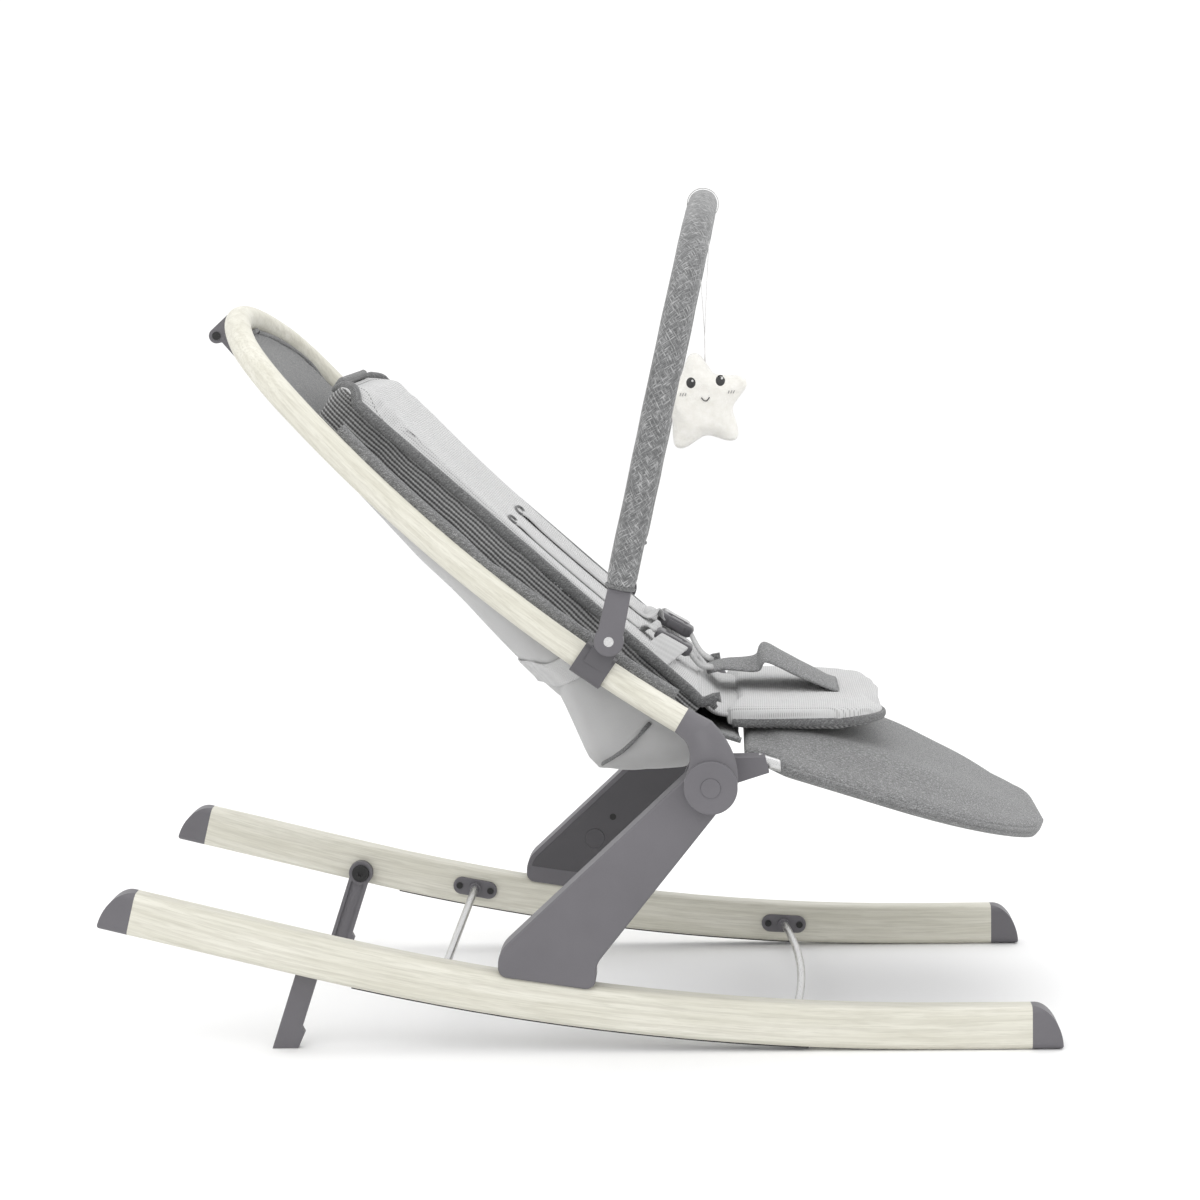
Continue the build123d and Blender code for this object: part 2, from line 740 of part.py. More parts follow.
def leg_sweep():
    """Space that the leg's head and upper edge pass through inside the elbow, up to full recline."""
    reach = leg_head_radius + elbow_sweep_gap
    below = side_face([
        (hub_x, hub_z + reach),
        (hub_x - big, hub_z + reach),
        (hub_x - big, hub_z - big),
        (hub_x, hub_z - big),
    ])
    return y_cylinder(hub_x, hub_z, reach, 0, cheek_inner_y) + side_prism(below, 0, cheek_inner_y)


def hip_elbow(cutters):
    """Moulding from the loop tube's end down to the round cheek outside the leg."""
    start = rail_point(hip_slope)
    down = rail_direction(hip_slope) * -1
    cheek_y = (cheek_inner_y + cheek_outer_y) / 2
    sections = [
        elbow_section(start.X, start.Y, start.Z, down, tube_diameter, tube_diameter),
        elbow_section(elbow_neck_x, start.Y + elbow_neck_shift, elbow_neck_z, polar(-elbow_neck_slope),
                      elbow_neck_width, elbow_neck_depth),
        elbow_section(elbow_shoulder_x, cheek_y - elbow_shoulder_shift, elbow_shoulder_z,
                      polar(-elbow_shoulder_slope), elbow_shoulder_width, elbow_shoulder_depth),
        elbow_section(hub_x, cheek_y - elbow_root_play, hub_z + elbow_root_play, polar(-90),
                      2 * hub_radius, cheek_thickness - elbow_root_play),
    ]
    body = loft(sections[:2]) + loft(sections[1:])
    body += y_cylinder(hub_x, hub_z, hub_radius, cheek_inner_y, cheek_outer_y)
    body -= leg_sweep()
    body -= Pos(0, cheek_outer_y + big / 2, 0) * Box(2 * big, big, 2 * big)
    spigot_plane = Plane(origin=start, z_dir=down * -1)
    body += extrude(spigot_plane * Circle(tube_radius - tube_wall - spigot_gap), amount=spigot_length)
    body -= y_cylinder(hub_x, hub_z, button_pocket_radius, cheek_inner_y + cheek_floor, cheek_outer_y + big)
    for cutter in cutters:
        body -= cutter
    return body.solids().sort_by(SortBy.VOLUME)[-1]


def pivot_shaft():
    """Shaft through cheek, leg and leg rest arm, with a flat head in the cheek's pocket."""
    head_y = cheek_inner_y + cheek_floor
    shank = y_cylinder(hub_x, hub_z, shaft_radius, arm_inner_y, head_y)
    return shank + y_cylinder(hub_x, hub_z, shaft_head_radius, head_y, head_y + shaft_head_height)


def hub_cap():
    """Round cover plate on the cheek, with the button's hole in its middle."""
    cap = y_cylinder(hub_x, hub_z, hub_radius, cheek_outer_y, cap_outer_y)
    cap = fillet(cap.faces().sort_by(Axis.Y)[-1].edges(), hub_cap_edge)
    return cap - y_cylinder(hub_x, hub_z, button_radius + spigot_gap, cheek_outer_y, cap_outer_y)


def release_button():
    """Push button with a flange that the hub cap holds back."""
    flange_y = cheek_outer_y - spigot_gap
    stem = y_cylinder(hub_x, hub_z, button_radius, flange_y, cap_outer_y + button_proud)
    stem = fillet(stem.faces().sort_by(Axis.Y)[-1].edges(), button_edge)
    return stem + y_cylinder(hub_x, hub_z, button_flange_radius, flange_y - button_flange_height, flange_y)


def release_spring():
    """Coil spring between the shaft's head and the button's flange."""
    low = cheek_inner_y + cheek_floor + spring_wire / 2 + spigot_gap
    high = cheek_outer_y - spigot_gap - button_flange_height - spring_wire / 2 - spigot_gap
    pitch = (high - low) / spring_turns
    path = Helix(pitch=pitch, height=high - low, radius=spring_radius)
    section = Plane(origin=path @ 0, z_dir=path % 0) * Circle(spring_wire / 2)
    coil = sweep(section, path=path, is_frenet=True)
    place = Plane(origin=(hub_x, low, hub_z), x_dir=(1, 0, 0), z_dir=(0, 1, 0))
    return place * coil


# ---- Leg rest frame ------------------------------------------------------
def leg_rest_slope():
    """Downward slope of the leg rest, from the arm's tip to its front."""
    return degrees(atan2(arm_tip_z - rest_front_z, rest_front_x - arm_tip_x))


def leg_rest_arm(rest_tube, shaft):
    """Inner cheek on the pivot shaft, with an arm and a socket for the leg rest tube."""
    cheek = y_cylinder(hub_x, hub_z, hub_radius, arm_inner_y, arm_outer_y)
    tip = Vector(arm_tip_x, 0, arm_tip_z)
    heading = tip - hub_point
    across = Vector(-heading.Z, 0, heading.X).normalized()
    corners = [
        hub_point + across * arm_root_upper,
        tip + across * arm_tip_radius,
        tip - across * arm_tip_radius,
        hub_point - across * arm_root_lower,
    ]
    arm = side_prism(side_face([(c.X, c.Z) for c in corners]), arm_inner_y - arm_reach_in, arm_outer_y)
    arm -= y_cylinder(hub_x, hub_z, hub_radius + slip_gap, 0, arm_inner_y)
    return cheek + arm - shaft - rest_tube


def leg_rest_tube():
    """Thin U-shaped tube that the leg rest cover is drawn over."""
    slope = leg_rest_slope()
    along = polar(-slope)
    start_y = arm_inner_y - arm_reach_in + rest_tube_diameter / 2 + arm_socket_wall
    socket = Vector(arm_tip_x, start_y, arm_tip_z) - along * rest_spigot / 2
    length = (rest_front_x - arm_tip_x) / cos(radians(slope))
    corner_start = Vector(arm_tip_x, start_y, arm_tip_z) + along * (length - rest_corner_radius)
    corner_middle = corner_start + along * (rest_corner_radius * sin(radians(45)))
    corner_middle -= Vector(0, rest_corner_radius * (1 - cos(radians(45))), 0)
    corner_end = corner_start + along * rest_corner_radius - Vector(0, rest_corner_radius, 0)

    def flipped(point):
        return Vector(point.X, -point.Y, point.Z)

    path = Wire([
        Line(socket, corner_start),
        ThreePointArc(corner_start, corner_middle, corner_end),
        Line(corner_end, flipped(corner_end)),
        ThreePointArc(flipped(corner_end), flipped(corner_middle), flipped(corner_start)),
        Line(flipped(corner_start), flipped(socket)),
    ])
    plane = Plane(origin=path @ 0, z_dir=path % 0)
    return sweep(plane * Circle(rest_tube_diameter / 2), path=path)


# ---- Head bracket --------------------------------------------------------
def behind_head(up, back):
    """A point beside the top of the loop: up along the head slope and back behind the seat."""
    return head_top() + polar(180 - head_slope, up) + polar(-90 - head_slope, back)


def head_bracket(loop, pin):
    """Latch hook behind the top of the loop: a body that fits the tube and an eye for its pin."""
    half = bracket_width / 2
    eye_place = behind_head(bracket_pin_up, bracket_pin_back)
    corners = [
        behind_head(bracket_pin_up + bracket_eye_radius, 0),
        behind_head(bracket_pin_up + bracket_eye_radius, bracket_pin_back),
        behind_head(bracket_pin_up - bracket_height, bracket_pin_back + bracket_root),
        behind_head(bracket_pin_up - bracket_height, tube_radius),
        behind_head(-tube_radius, bracket_front),
    ]
    body = side_prism(side_face([(c.X, c.Z) for c in corners]), -half, half)
    body += y_cylinder(eye_place.X, eye_place.Z, bracket_eye_radius, -half, half)
    return (body - loop - pin).solids().sort_by(SortBy.VOLUME)[-1]


def head_bracket_pin():
    """Cross pin with a low head at each end."""
    place = behind_head(bracket_pin_up, bracket_pin_back)
    half = bracket_width / 2
    pin = y_cylinder(place.X, place.Z, bracket_pin_radius, -half, half)
    for low in (-half - bracket_pin_cap, half):
        pin += y_cylinder(place.X, place.Z, bracket_pin_head, low, low + bracket_pin_cap)
    return pin


# ---- Toy bar -------------------------------------------------------------
bar_pivot = Vector(bar_pivot_x, 0, bar_pivot_z)
lug_outer_y = rail_y(clamp_x) + tube_radius + clamp_wall + lug_proud
bar_half_width = lug_outer_y + slip_gap + fitting_thickness / 2


def bar_path(start):
    """Arch of the toy bar in its leaning plane, from a distance above the left pivot to the right."""
    top_angle = radians(bar_top_half_angle)
    top_half = bar_top_radius * sin(top_angle)
    corner_radius = (bar_half_width - top_half) / (1 - sin(top_angle))
    top_drop = bar_top_radius * (1 - cos(top_angle))
    leg_end = bar_reach - top_drop - corner_radius * cos(top_angle)
    corner_mid_angle = (radians(90) + top_angle) / 2

    def place(across, up):
        point = bar_pivot + polar(bar_lean, up)
        return Vector(point.X, across, point.Z)

    def corner_place(angle, side):
        across = top_half + corner_radius * (sin(angle) - sin(top_angle))
        up = leg_end + corner_radius * cos(angle)
        return place(side * across, up)

    edges = [ThreePointArc(corner_place(top_angle, 1), place(0, bar_reach), corner_place(top_angle, -1))]
    for side in (1, -1):
        low = place(side * bar_half_width, start)
        high = place(side * bar_half_width, leg_end)
        leg = Line(low, high)
        corner = ThreePointArc(high, corner_place(corner_mid_angle, side), corner_place(top_angle, side))
        edges += [leg, corner]
    return Wire(edges)


def bar_sweep(radius, start):
    path = bar_path(start)
    plane = Plane(origin=path @ 0, z_dir=path % 0)
    return sweep(plane * Circle(radius), path=path)


def toy_bar_sleeve():
    """Soft tube over the bar rod."""
    return bar_sweep(sleeve_radius, sleeve_start) - bar_sweep(bar_rod_diameter / 2, sleeve_start)


def arm_fitting(rod, screw_room):
    """Round eye at the pivot with a neck that holds the bar rod's end."""
    low = bar_half_width - fitting_thickness / 2
    eye = y_cylinder(bar_pivot_x, bar_pivot_z, fitting_radius, low, low + fitting_thickness)
    along = polar(bar_lean)
    across = polar(bar_lean - 90)
    top = bar_pivot + along * sleeve_start
    half_low = fitting_radius - fitting_edge
    half_high = fitting_neck_width / 2
    neck_face = side_face([
        ((bar_pivot - across * half_low).X, (bar_pivot - across * half_low).Z),
        ((top - across * half_high).X, (top - across * half_high).Z),
        ((top + across * half_high).X, (top + across * half_high).Z),
        ((bar_pivot + across * half_low).X, (bar_pivot + across * half_low).Z),
    ])
    neck = side_prism(neck_face, low, low + fitting_thickness)
    body = fillet((eye + neck).faces().sort_by(Axis.Y)[-1].edges(), fitting_edge)
    return body - rod - screw_room


def toy_bar_clamp(loop, screw):
    """Sleeve around the rail, with a lug that the arm fitting turns on."""
    slope = rail_slope_at(clamp_x)
    centre = rail_point(slope)
    along = rail_direction(slope)
    size = tube_diameter + 2 * clamp_wall
    plane = Plane(origin=centre - along * (clamp_length / 2), x_dir=(0, 1, 0), z_dir=along)
    block = extrude(plane * RectangleRounded(size, size, clamp_corner), amount=clamp_length)
    lug_inner_y = lug_outer_y - lug_thickness
    lug = y_cylinder(bar_pivot_x, bar_pivot_z, lug_radius, lug_inner_y, lug_outer_y)
    side = polar(180 - slope)
    web_face = side_face([
        (bar_pivot_x + lug_radius, bar_pivot_z),
        (bar_pivot_x - lug_radius, bar_pivot_z),
        ((centre + side * clamp_web_up).X, (centre + side * clamp_web_up).Z),
        ((centre - side * clamp_web_down).X, (centre - side * clamp_web_down).Z),
    ])
    web = side_prism(web_face, lug_inner_y - clamp_web_extra, lug_outer_y)
    body = block + lug + web - loop - screw
    return body.solids().sort_by(SortBy.VOLUME)[-1]


def clamp_space():
    """The space that both clamps take, with a gap around them."""
    slope = rail_slope_at(clamp_x)
    along = rail_direction(slope)
    size = tube_diameter + 2 * clamp_wall + 2 * fabric_gap
    start = rail_point(slope) - along * (clamp_length / 2 + fabric_gap)
    plane = Plane(origin=start, x_dir=(0, 1, 0), z_dir=along)
    space = extrude(plane * Rectangle(size, size), amount=clamp_length + 2 * fabric_gap)
    return space + mirrored(space, -1)


def bar_screw(radius_extra=0.0):
    """Pivot screw through the arm fitting into the clamp's lug."""
    outer = bar_half_width + fitting_thickness / 2
    under_head = outer - bar_screw_head_height
    shank_radius = bar_screw_radius + radius_extra
    head_radius = bar_screw_head_radius + radius_extra
    shank = y_cylinder(bar_pivot_x, bar_pivot_z, shank_radius, lug_outer_y - bar_screw_grip, under_head)
    return shank + y_cylinder(bar_pivot_x, bar_pivot_z, head_radius, under_head - radius_extra, outer)


# ---- Toy -----------------------------------------------------------------
def bar_top():
    return bar_pivot + polar(bar_lean, bar_reach)


def star_toy(ribbon):
    """Plush star: a five-pointed prism with soft corners."""
    points = []
    for index in range(10):
        radius = star_outer_radius if index % 2 == 0 else star_inner_radius
        angle = 90 + star_turn + 36 * index
        points.append((star_x + radius * cos(radians(angle)), star_z + radius * sin(radians(angle))))
    face = side_face(points)
    face = fillet(face.vertices(), star_round)
    return side_prism(face, -star_thickness / 2, star_thickness / 2) - ribbon


def toy_ribbon():
    """Ribbon loop around the bar and a straight tail down to the star."""
    top = bar_top()
    inner = sleeve_radius + slip_gap
    outer = inner + ribbon_thickness
    half = ribbon_width / 2
    loop = y_cylinder(top.X, top.Z, outer, -half, half) - y_cylinder(top.X, top.Z, inner, -half, half)
    star_top = star_z + star_outer_radius * cos(radians(star_turn)) - star_round
    tail_x = top.X
    length = top.Z - inner - star_top + ribbon_sewn
    tail = Pos(tail_x, 0, top.Z - inner - length / 2) * Box(ribbon_thickness, ribbon_width, length)
    return loop + tail


# ---- Soft pieces ---------------------------------------------------------
def plan_block(x_low, x_high, half_width, corner_low, corner_high):
    """A tall block with rounded plan corners, for trimming a slab."""
    face = Pos((x_low + x_high) / 2, 0, 0) * Rectangle(x_high - x_low, 2 * half_width)
    for end, radius in ((0, corner_low), (-1, corner_high)):
        if radius > 0:
            corners = face.vertices().group_by(Axis.X)[end]
            face = fillet(corners, radius)
    return extrude(face, amount=big)


def slab(face, half_width):
    """Extrude an XZ face to both sides of the middle."""
    return side_prism(face, -half_width, half_width)


def height_arc(slope_low, slope_high, heights):
    """Arc through three heights above the rails' line: at the low end, the middle and the high end."""
    middle = (slope_low + slope_high) / 2
    return ThreePointArc(
        back_point(slope_low, heights[0]), back_point(middle, heights[1]), back_point(slope_high, heights[2])
    )


def arc_band(slope_low, slope_high, low_heights, high_heights):
    """Face between two such arcs."""
    bottom = height_arc(slope_low, slope_high, low_heights)
    top = height_arc(slope_low, slope_high, high_heights)
    return make_face(Curve() + [bottom, Line(bottom @ 1, top @ 1), top, Line(bottom @ 0, top @ 0)])


def tube_room(loop_gap):
    """The space that the loop tube takes, with a gap around it."""
    path = loop_path()
    plane = Plane(origin=path @ 0, z_dir=path % 0)
    return sweep(plane * Circle(tube_radius + loop_gap), path=path)


def inside_loop():
    """Tall block with the plan outline of the loop's centreline, for trimming the seat cover."""
    path = loop_path()
    points = [path @ (index / loop_outline_steps) for index in range(loop_outline_steps + 1)]
    face = make_face(Polyline([Vector(p.X, p.Y, 0) for p in points], close=True))
    return extrude(face, amount=big)


def seat_cover(room, clamps):
    """Cloth stretched across the loop, with its forward part under the insert's seat pad."""
    flat = (-cover_cloth, -cover_cloth, -cover_cloth)
    back = slab(arc_band(hip_slope, head_slope, flat, (0, 0, 0)), hip_end_y)
    corners = [head_plane_point(0, -cover_cloth), head_plane_point(0, 0), head_plane_point(big, 0),
               head_plane_point(big, -cover_cloth)]
    back += slab(side_face([(c.X, c.Z) for c in corners]), hip_end_y)
    back = back & inside_loop()
    hip_top = back_point(hip_slope, 0)
    hip_low = back_point(hip_slope, -cover_cloth)
    seat = slab(side_face([
        (hip_top.X, hip_top.Z),
        (cover_dip_x, cover_dip_z),
        (cover_front_x, cover_front_z),
        (cover_front_x, cover_front_z - cover_cloth),
        (cover_dip_x - cover_cloth, cover_dip_z - cover_cloth),
        (hip_low.X, hip_low.Z),
    ]), cover_half_width)
    return (back + seat - room - clamps).solids().sort_by(SortBy.VOLUME)[-1]


def sling_profile(inset):
    """Side profile of the bag under the rails, pulled in by an inset."""
    below = -(tube_radius + sling_gap_below_tube)
    under_cover = -(cover_cloth + fabric_gap)
    rim = height_arc(hip_slope, sling_head_slope, (under_cover, under_cover, under_cover))
    rim_hip = Vector(cover_dip_x - cover_cloth, 0, cover_dip_z - cover_cloth - fabric_gap)
    rim_front = Vector(cover_front_x, 0, cover_front_z - cover_cloth - fabric_gap)
    keel = Spline(
        back_point(sling_head_slope, below + inset),
        back_point(sling_middle_slope, -sling_middle_depth + inset),
        back_point(sling_low_slope, -sling_low_depth + inset),
    )
    outline = [
        Vector(sling_rear_x + inset, 0, sling_floor_z + sling_corner + inset),
        Vector(sling_rear_x + sling_corner + inset, 0, sling_floor_z + inset),
        Vector(sling_hip_x - inset, 0, sling_floor_z + inset),
        Vector(cover_front_x - inset, 0, sling_front_z + inset),
        rim_front - Vector(inset, 0, 0),
        rim_hip,
        rim @ 0,
    ]
    run = Polyline([keel @ 1, *outline])
    return make_face(Curve() + [keel, *run.edges(), rim, Line(rim @ 1, keel @ 0)])


def back_sling(room, clamps):
    """Bag of smooth cloth under the seat: closed below and at its sides, open to the seat above."""
    bag = slab(sling_profile(0), sling_half_width)
    hollow = slab(sling_profile(sling_cloth), sling_half_width - sling_cloth)
    lift = polar(90 - (head_slope + hip_slope) / 2, sling_cloth)
    for step in range(sling_open_steps):
        bag -= Pos(lift.X * step, 0, lift.Z * step) * hollow
    return (bag - room - clamps).solids().sort_by(SortBy.VOLUME)[-1]


def rest_pad_face():
    """Side profile of the leg rest pad, from its hinge line at the seat to its rounded front."""
    top = Spline(
        (rest_pad_rear_x, 0, rest_pad_rear_top), (rest_pad_knee_x, 0, rest_pad_knee_top),
        (rest_pad_shin_x, 0, rest_pad_shin_top), (rest_pad_front_x - rest_pad_nose, 0, rest_pad_nose_top),
    )
    low = Spline(
        (rest_pad_rear_x, 0, rest_pad_rear_low), (rest_pad_knee_x, 0, rest_pad_knee_low),
        (rest_pad_shin_x, 0, rest_pad_shin_low), (rest_pad_front_x - rest_pad_nose, 0, rest_pad_nose_low),
    )
    nose_middle = (rest_pad_front_x, 0, (rest_pad_nose_top + rest_pad_nose_low) / 2)
    nose = ThreePointArc(top @ 1, nose_middle, low @ 1)
    return make_face(Curve() + [top, nose, low, Line(top @ 0, low @ 0)])


def leg_rest_cover(rest_tube):
    """Padded cover over the leg rest tube, cut back around the arms."""
    pad = slab(rest_pad_face(), rest_pad_half_width)
    pad = pad & plan_block(0, rest_pad_front_x, rest_pad_half_width, 0, rest_pad_corner)
    arm_end = arm_tip_x + arm_tip_radius + fabric_gap
    beside_arm = side_face([(0, 0), (arm_end, 0), (arm_end, big), (0, big)])
    arm_space = side_prism(beside_arm, arm_inner_y - arm_reach_in - fabric_gap, leg_outer_y)
    return (pad - rest_tube - arm_space - mirrored(arm_space, -1)).solids().sort_by(SortBy.VOLUME)[-1]


def insert_back_pad():
    """Thick newborn insert on the seat cover."""
    lows = (back_pad_low_hip, (back_pad_low_hip + back_pad_low_head) / 2, back_pad_low_head)
    highs = (back_pad_hip_height, back_pad_middle_height, back_pad_head_height)
    pad = slab(arc_band(back_pad_low_slope, back_pad_high_slope, lows, highs), back_pad_half_width)
    low_x = back_point(back_pad_high_slope, back_pad_low_head).X
    high_x = back_point(back_pad_low_slope, back_pad_hip_height).X
    return pad & plan_block(low_x, high_x + back_pad_corner, back_pad_half_width, back_pad_corner, 0)


def insert_seat_pad():
    """Front part of the insert, under the occupant's legs."""
    face = side_face([
        (seat_pad_rear_x, seat_pad_rear_z),
        (seat_pad_front_x, seat_pad_front_z),
        (seat_pad_front_x, seat_pad_front_z + seat_pad_thickness),
        (seat_pad_rear_x, seat_pad_rear_z + seat_pad_thickness),
    ])
    pad = slab(face, seat_pad_half_width)
    return pad & plan_block(seat_pad_rear_x, seat_pad_front_x, seat_pad_half_width, 0, seat_pad_corner)


def shoulder_strap():
    """Webbing from its slot in the back pad down to the buckle."""
    lows = (strap_low_height, strap_middle_height, strap_high_height)
    highs = [height + strap_thickness for height in lows]
    band = arc_band(strap_low_slope, strap_high_slope, lows, highs)
    low = shoulder_strap_y - strap_width / 2
    return side_prism(band, low, low + strap_width)


def harness_buckle():
    """Side-release buckle body."""
    up = polar(90 - buckle_slope)
    plane = Plane(origin=(buckle_x, buckle_y, buckle_z), x_dir=polar(-buckle_slope), z_dir=up)
    outline = plane * RectangleRounded(buckle_length, buckle_width, buckle_corner)
    body = extrude(outline, amount=buckle_thickness / 2, both=True)
    return fillet(body.edges().group_by(Axis((0, 0, 0), up))[-1], buckle_edge)


def waist_strap():
    """Webbing from the insert's side to the buckle."""
    low_y = buckle_y + buckle_width / 2 + slip_gap
    plane = Plane(origin=(buckle_x, low_y, buckle_z), x_dir=polar(-buckle_slope), z_dir=(0, 1, 0))
    return extrude(plane * Rectangle(strap_width, strap_thickness), amount=waist_strap_end_y - low_y)


def crotch_flap():
    """Flap that comes up between the occupant's legs and reaches back to the buckles."""
    low = (flap_front_x, seat_pad_front_z + seat_pad_thickness + fabric_gap)
    face = side_face([
        low,
        (flap_front_x + flap_thickness, low[1]),
        (flap_peak_x, flap_peak_z),
        (flap_rear_x, flap_rear_z),
        (flap_rear_x, flap_rear_z - flap_thickness),
        (flap_peak_x, flap_peak_z - flap_thickness),
    ])
    return slab(face, flap_half_width)


# ---- Build everything ----------------------------------------------------
os.makedirs("parts", exist_ok=True)

loop = loop_tube()
room = tube_room(fabric_gap)
rest_tube = leg_rest_tube()
shaft = pivot_shaft()
cover_screw = leg_cover_screw()
fixings = [leg_fixing_screw(x) for x in leg_screw_xs]
rods = {"rear": cross_rod(rear_rod_x, 0), "front": cross_rod(front_rod_x, front_rod_bow)}
rod_places = {"rear": rear_rod_x, "front": front_rod_x}
rod_screws = [plate_screw(place) for x in rod_places.values() for place in plate_screw_places(x)]
plates = [rod_plate(x, rods[name]) for name, x in rod_places.items()]
kick_bolt = kickstand_bolt()
bracket_pin = head_bracket_pin()
bar_rod = bar_sweep(bar_rod_diameter / 2, fitting_radius + fitting_wall)
ribbon = toy_ribbon()

rocker = rocker_tube()
for cutter in [*fixings, *rod_screws, kick_bolt, *[leg_screw_access(x) for x in leg_screw_xs]]:
    rocker -= cutter
clamp = toy_bar_clamp(loop, bar_screw())
arm = leg_rest_arm(rest_tube, shaft)
clamps = clamp_space()

paired = {
    "rocker": rocker,
    "rocker_front_cap": front_cap(),
    "rocker_rear_cap": rear_cap(),
    "grip_strip": grip_strip(),
    "kickstand": kickstand(),
    "leg_shell": leg_shell(fixings, cover_screw),
    "leg_inner_cover": leg_inner_cover(cover_screw),
    "pivot_shaft": shaft,
    "hip_elbow": hip_elbow([shaft]),
    "hub_cap": hub_cap(),
    "release_button": release_button(),
    "release_spring": release_spring(),
    "leg_rest_arm": arm,
    "toy_bar_clamp": clamp,
    "arm_fitting": arm_fitting(bar_rod, bar_screw(running_fit)),
    "shoulder_strap": shoulder_strap(),
    "waist_strap": waist_strap(),
    "harness_buckle": harness_buckle(),
}
for name, shape in paired.items():
    for side_name, side in sides.items():
        export_node(mirrored(shape, side), f"{name}_{side_name}")

grouped = {
    "rod_plates": plates,
    "rod_plate_screws": rod_screws,
    "kickstand_bolts": [kick_bolt],
    "leg_plugs": [leg_plug()],
    "leg_cover_screws": [cover_screw],
    "leg_fixing_screws": fixings,
    "toy_bar_screws": [bar_screw()],
}
for name, shapes in grouped.items():
    both = [mirrored(shape, side) for shape in shapes for side in sides.values()]
    export_node(Compound(children=both), name)

single = {
    "rear_cross_rod": rods["rear"],
    "front_cross_rod": rods["front"],
    "seat_loop_tube": loop,
    "leg_rest_tube": rest_tube,
    "head_bracket": head_bracket(loop, bracket_pin),
    "head_bracket_pin": bracket_pin,
    "toy_bar_rod": bar_rod,
    "toy_bar_sleeve": toy_bar_sleeve(),
    "toy_ribbon": ribbon,
    "star_toy": star_toy(ribbon),
    "seat_cover": seat_cover(room, clamps),
    "back_sling": back_sling(room, clamps),
    "leg_rest_cover": leg_rest_cover(rest_tube),
    "insert_back_pad": insert_back_pad(),
    "insert_seat_pad": insert_seat_pad(),
    "crotch_flap": crotch_flap(),
}
for name, shape in single.items():
    export_node(shape, name)
print("nodes:", 2 * len(paired) + len(grouped) + len(single))
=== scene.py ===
import json
import math

import bmesh
import bpy
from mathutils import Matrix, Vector, noise
from mathutils.bvhtree import BVHTree


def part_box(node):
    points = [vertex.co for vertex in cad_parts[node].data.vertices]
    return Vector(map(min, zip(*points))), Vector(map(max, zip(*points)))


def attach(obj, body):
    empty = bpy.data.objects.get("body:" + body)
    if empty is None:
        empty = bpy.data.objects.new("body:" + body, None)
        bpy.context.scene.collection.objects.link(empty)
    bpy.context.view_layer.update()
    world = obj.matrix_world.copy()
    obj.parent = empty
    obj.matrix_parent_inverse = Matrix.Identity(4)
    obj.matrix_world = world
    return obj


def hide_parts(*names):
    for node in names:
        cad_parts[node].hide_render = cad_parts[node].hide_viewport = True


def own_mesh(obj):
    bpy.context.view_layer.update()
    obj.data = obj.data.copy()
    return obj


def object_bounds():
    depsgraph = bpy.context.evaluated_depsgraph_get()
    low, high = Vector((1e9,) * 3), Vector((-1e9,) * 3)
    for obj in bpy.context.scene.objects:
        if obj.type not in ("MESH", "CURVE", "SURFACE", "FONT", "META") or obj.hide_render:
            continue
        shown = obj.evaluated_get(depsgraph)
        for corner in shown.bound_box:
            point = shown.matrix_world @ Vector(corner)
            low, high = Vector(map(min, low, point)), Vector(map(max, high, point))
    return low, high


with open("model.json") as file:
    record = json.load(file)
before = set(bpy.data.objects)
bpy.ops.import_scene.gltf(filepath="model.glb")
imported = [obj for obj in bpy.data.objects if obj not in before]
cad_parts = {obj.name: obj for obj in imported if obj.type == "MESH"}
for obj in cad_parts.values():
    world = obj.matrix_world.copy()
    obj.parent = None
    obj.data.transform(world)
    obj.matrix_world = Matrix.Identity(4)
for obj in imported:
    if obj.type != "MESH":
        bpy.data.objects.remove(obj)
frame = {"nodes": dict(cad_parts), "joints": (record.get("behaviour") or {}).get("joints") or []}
cad_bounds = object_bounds()
scene = bpy.context.scene
MM = 0.001
BACK_SLOPE = 40      # degrees, the back rest's mean slope
LEG_SLOPE = 19       # degrees, the leg rest's downward slope
Y_AXIS = Vector((0, 1, 0))
Z_AXIS = Vector((0, 0, 1))


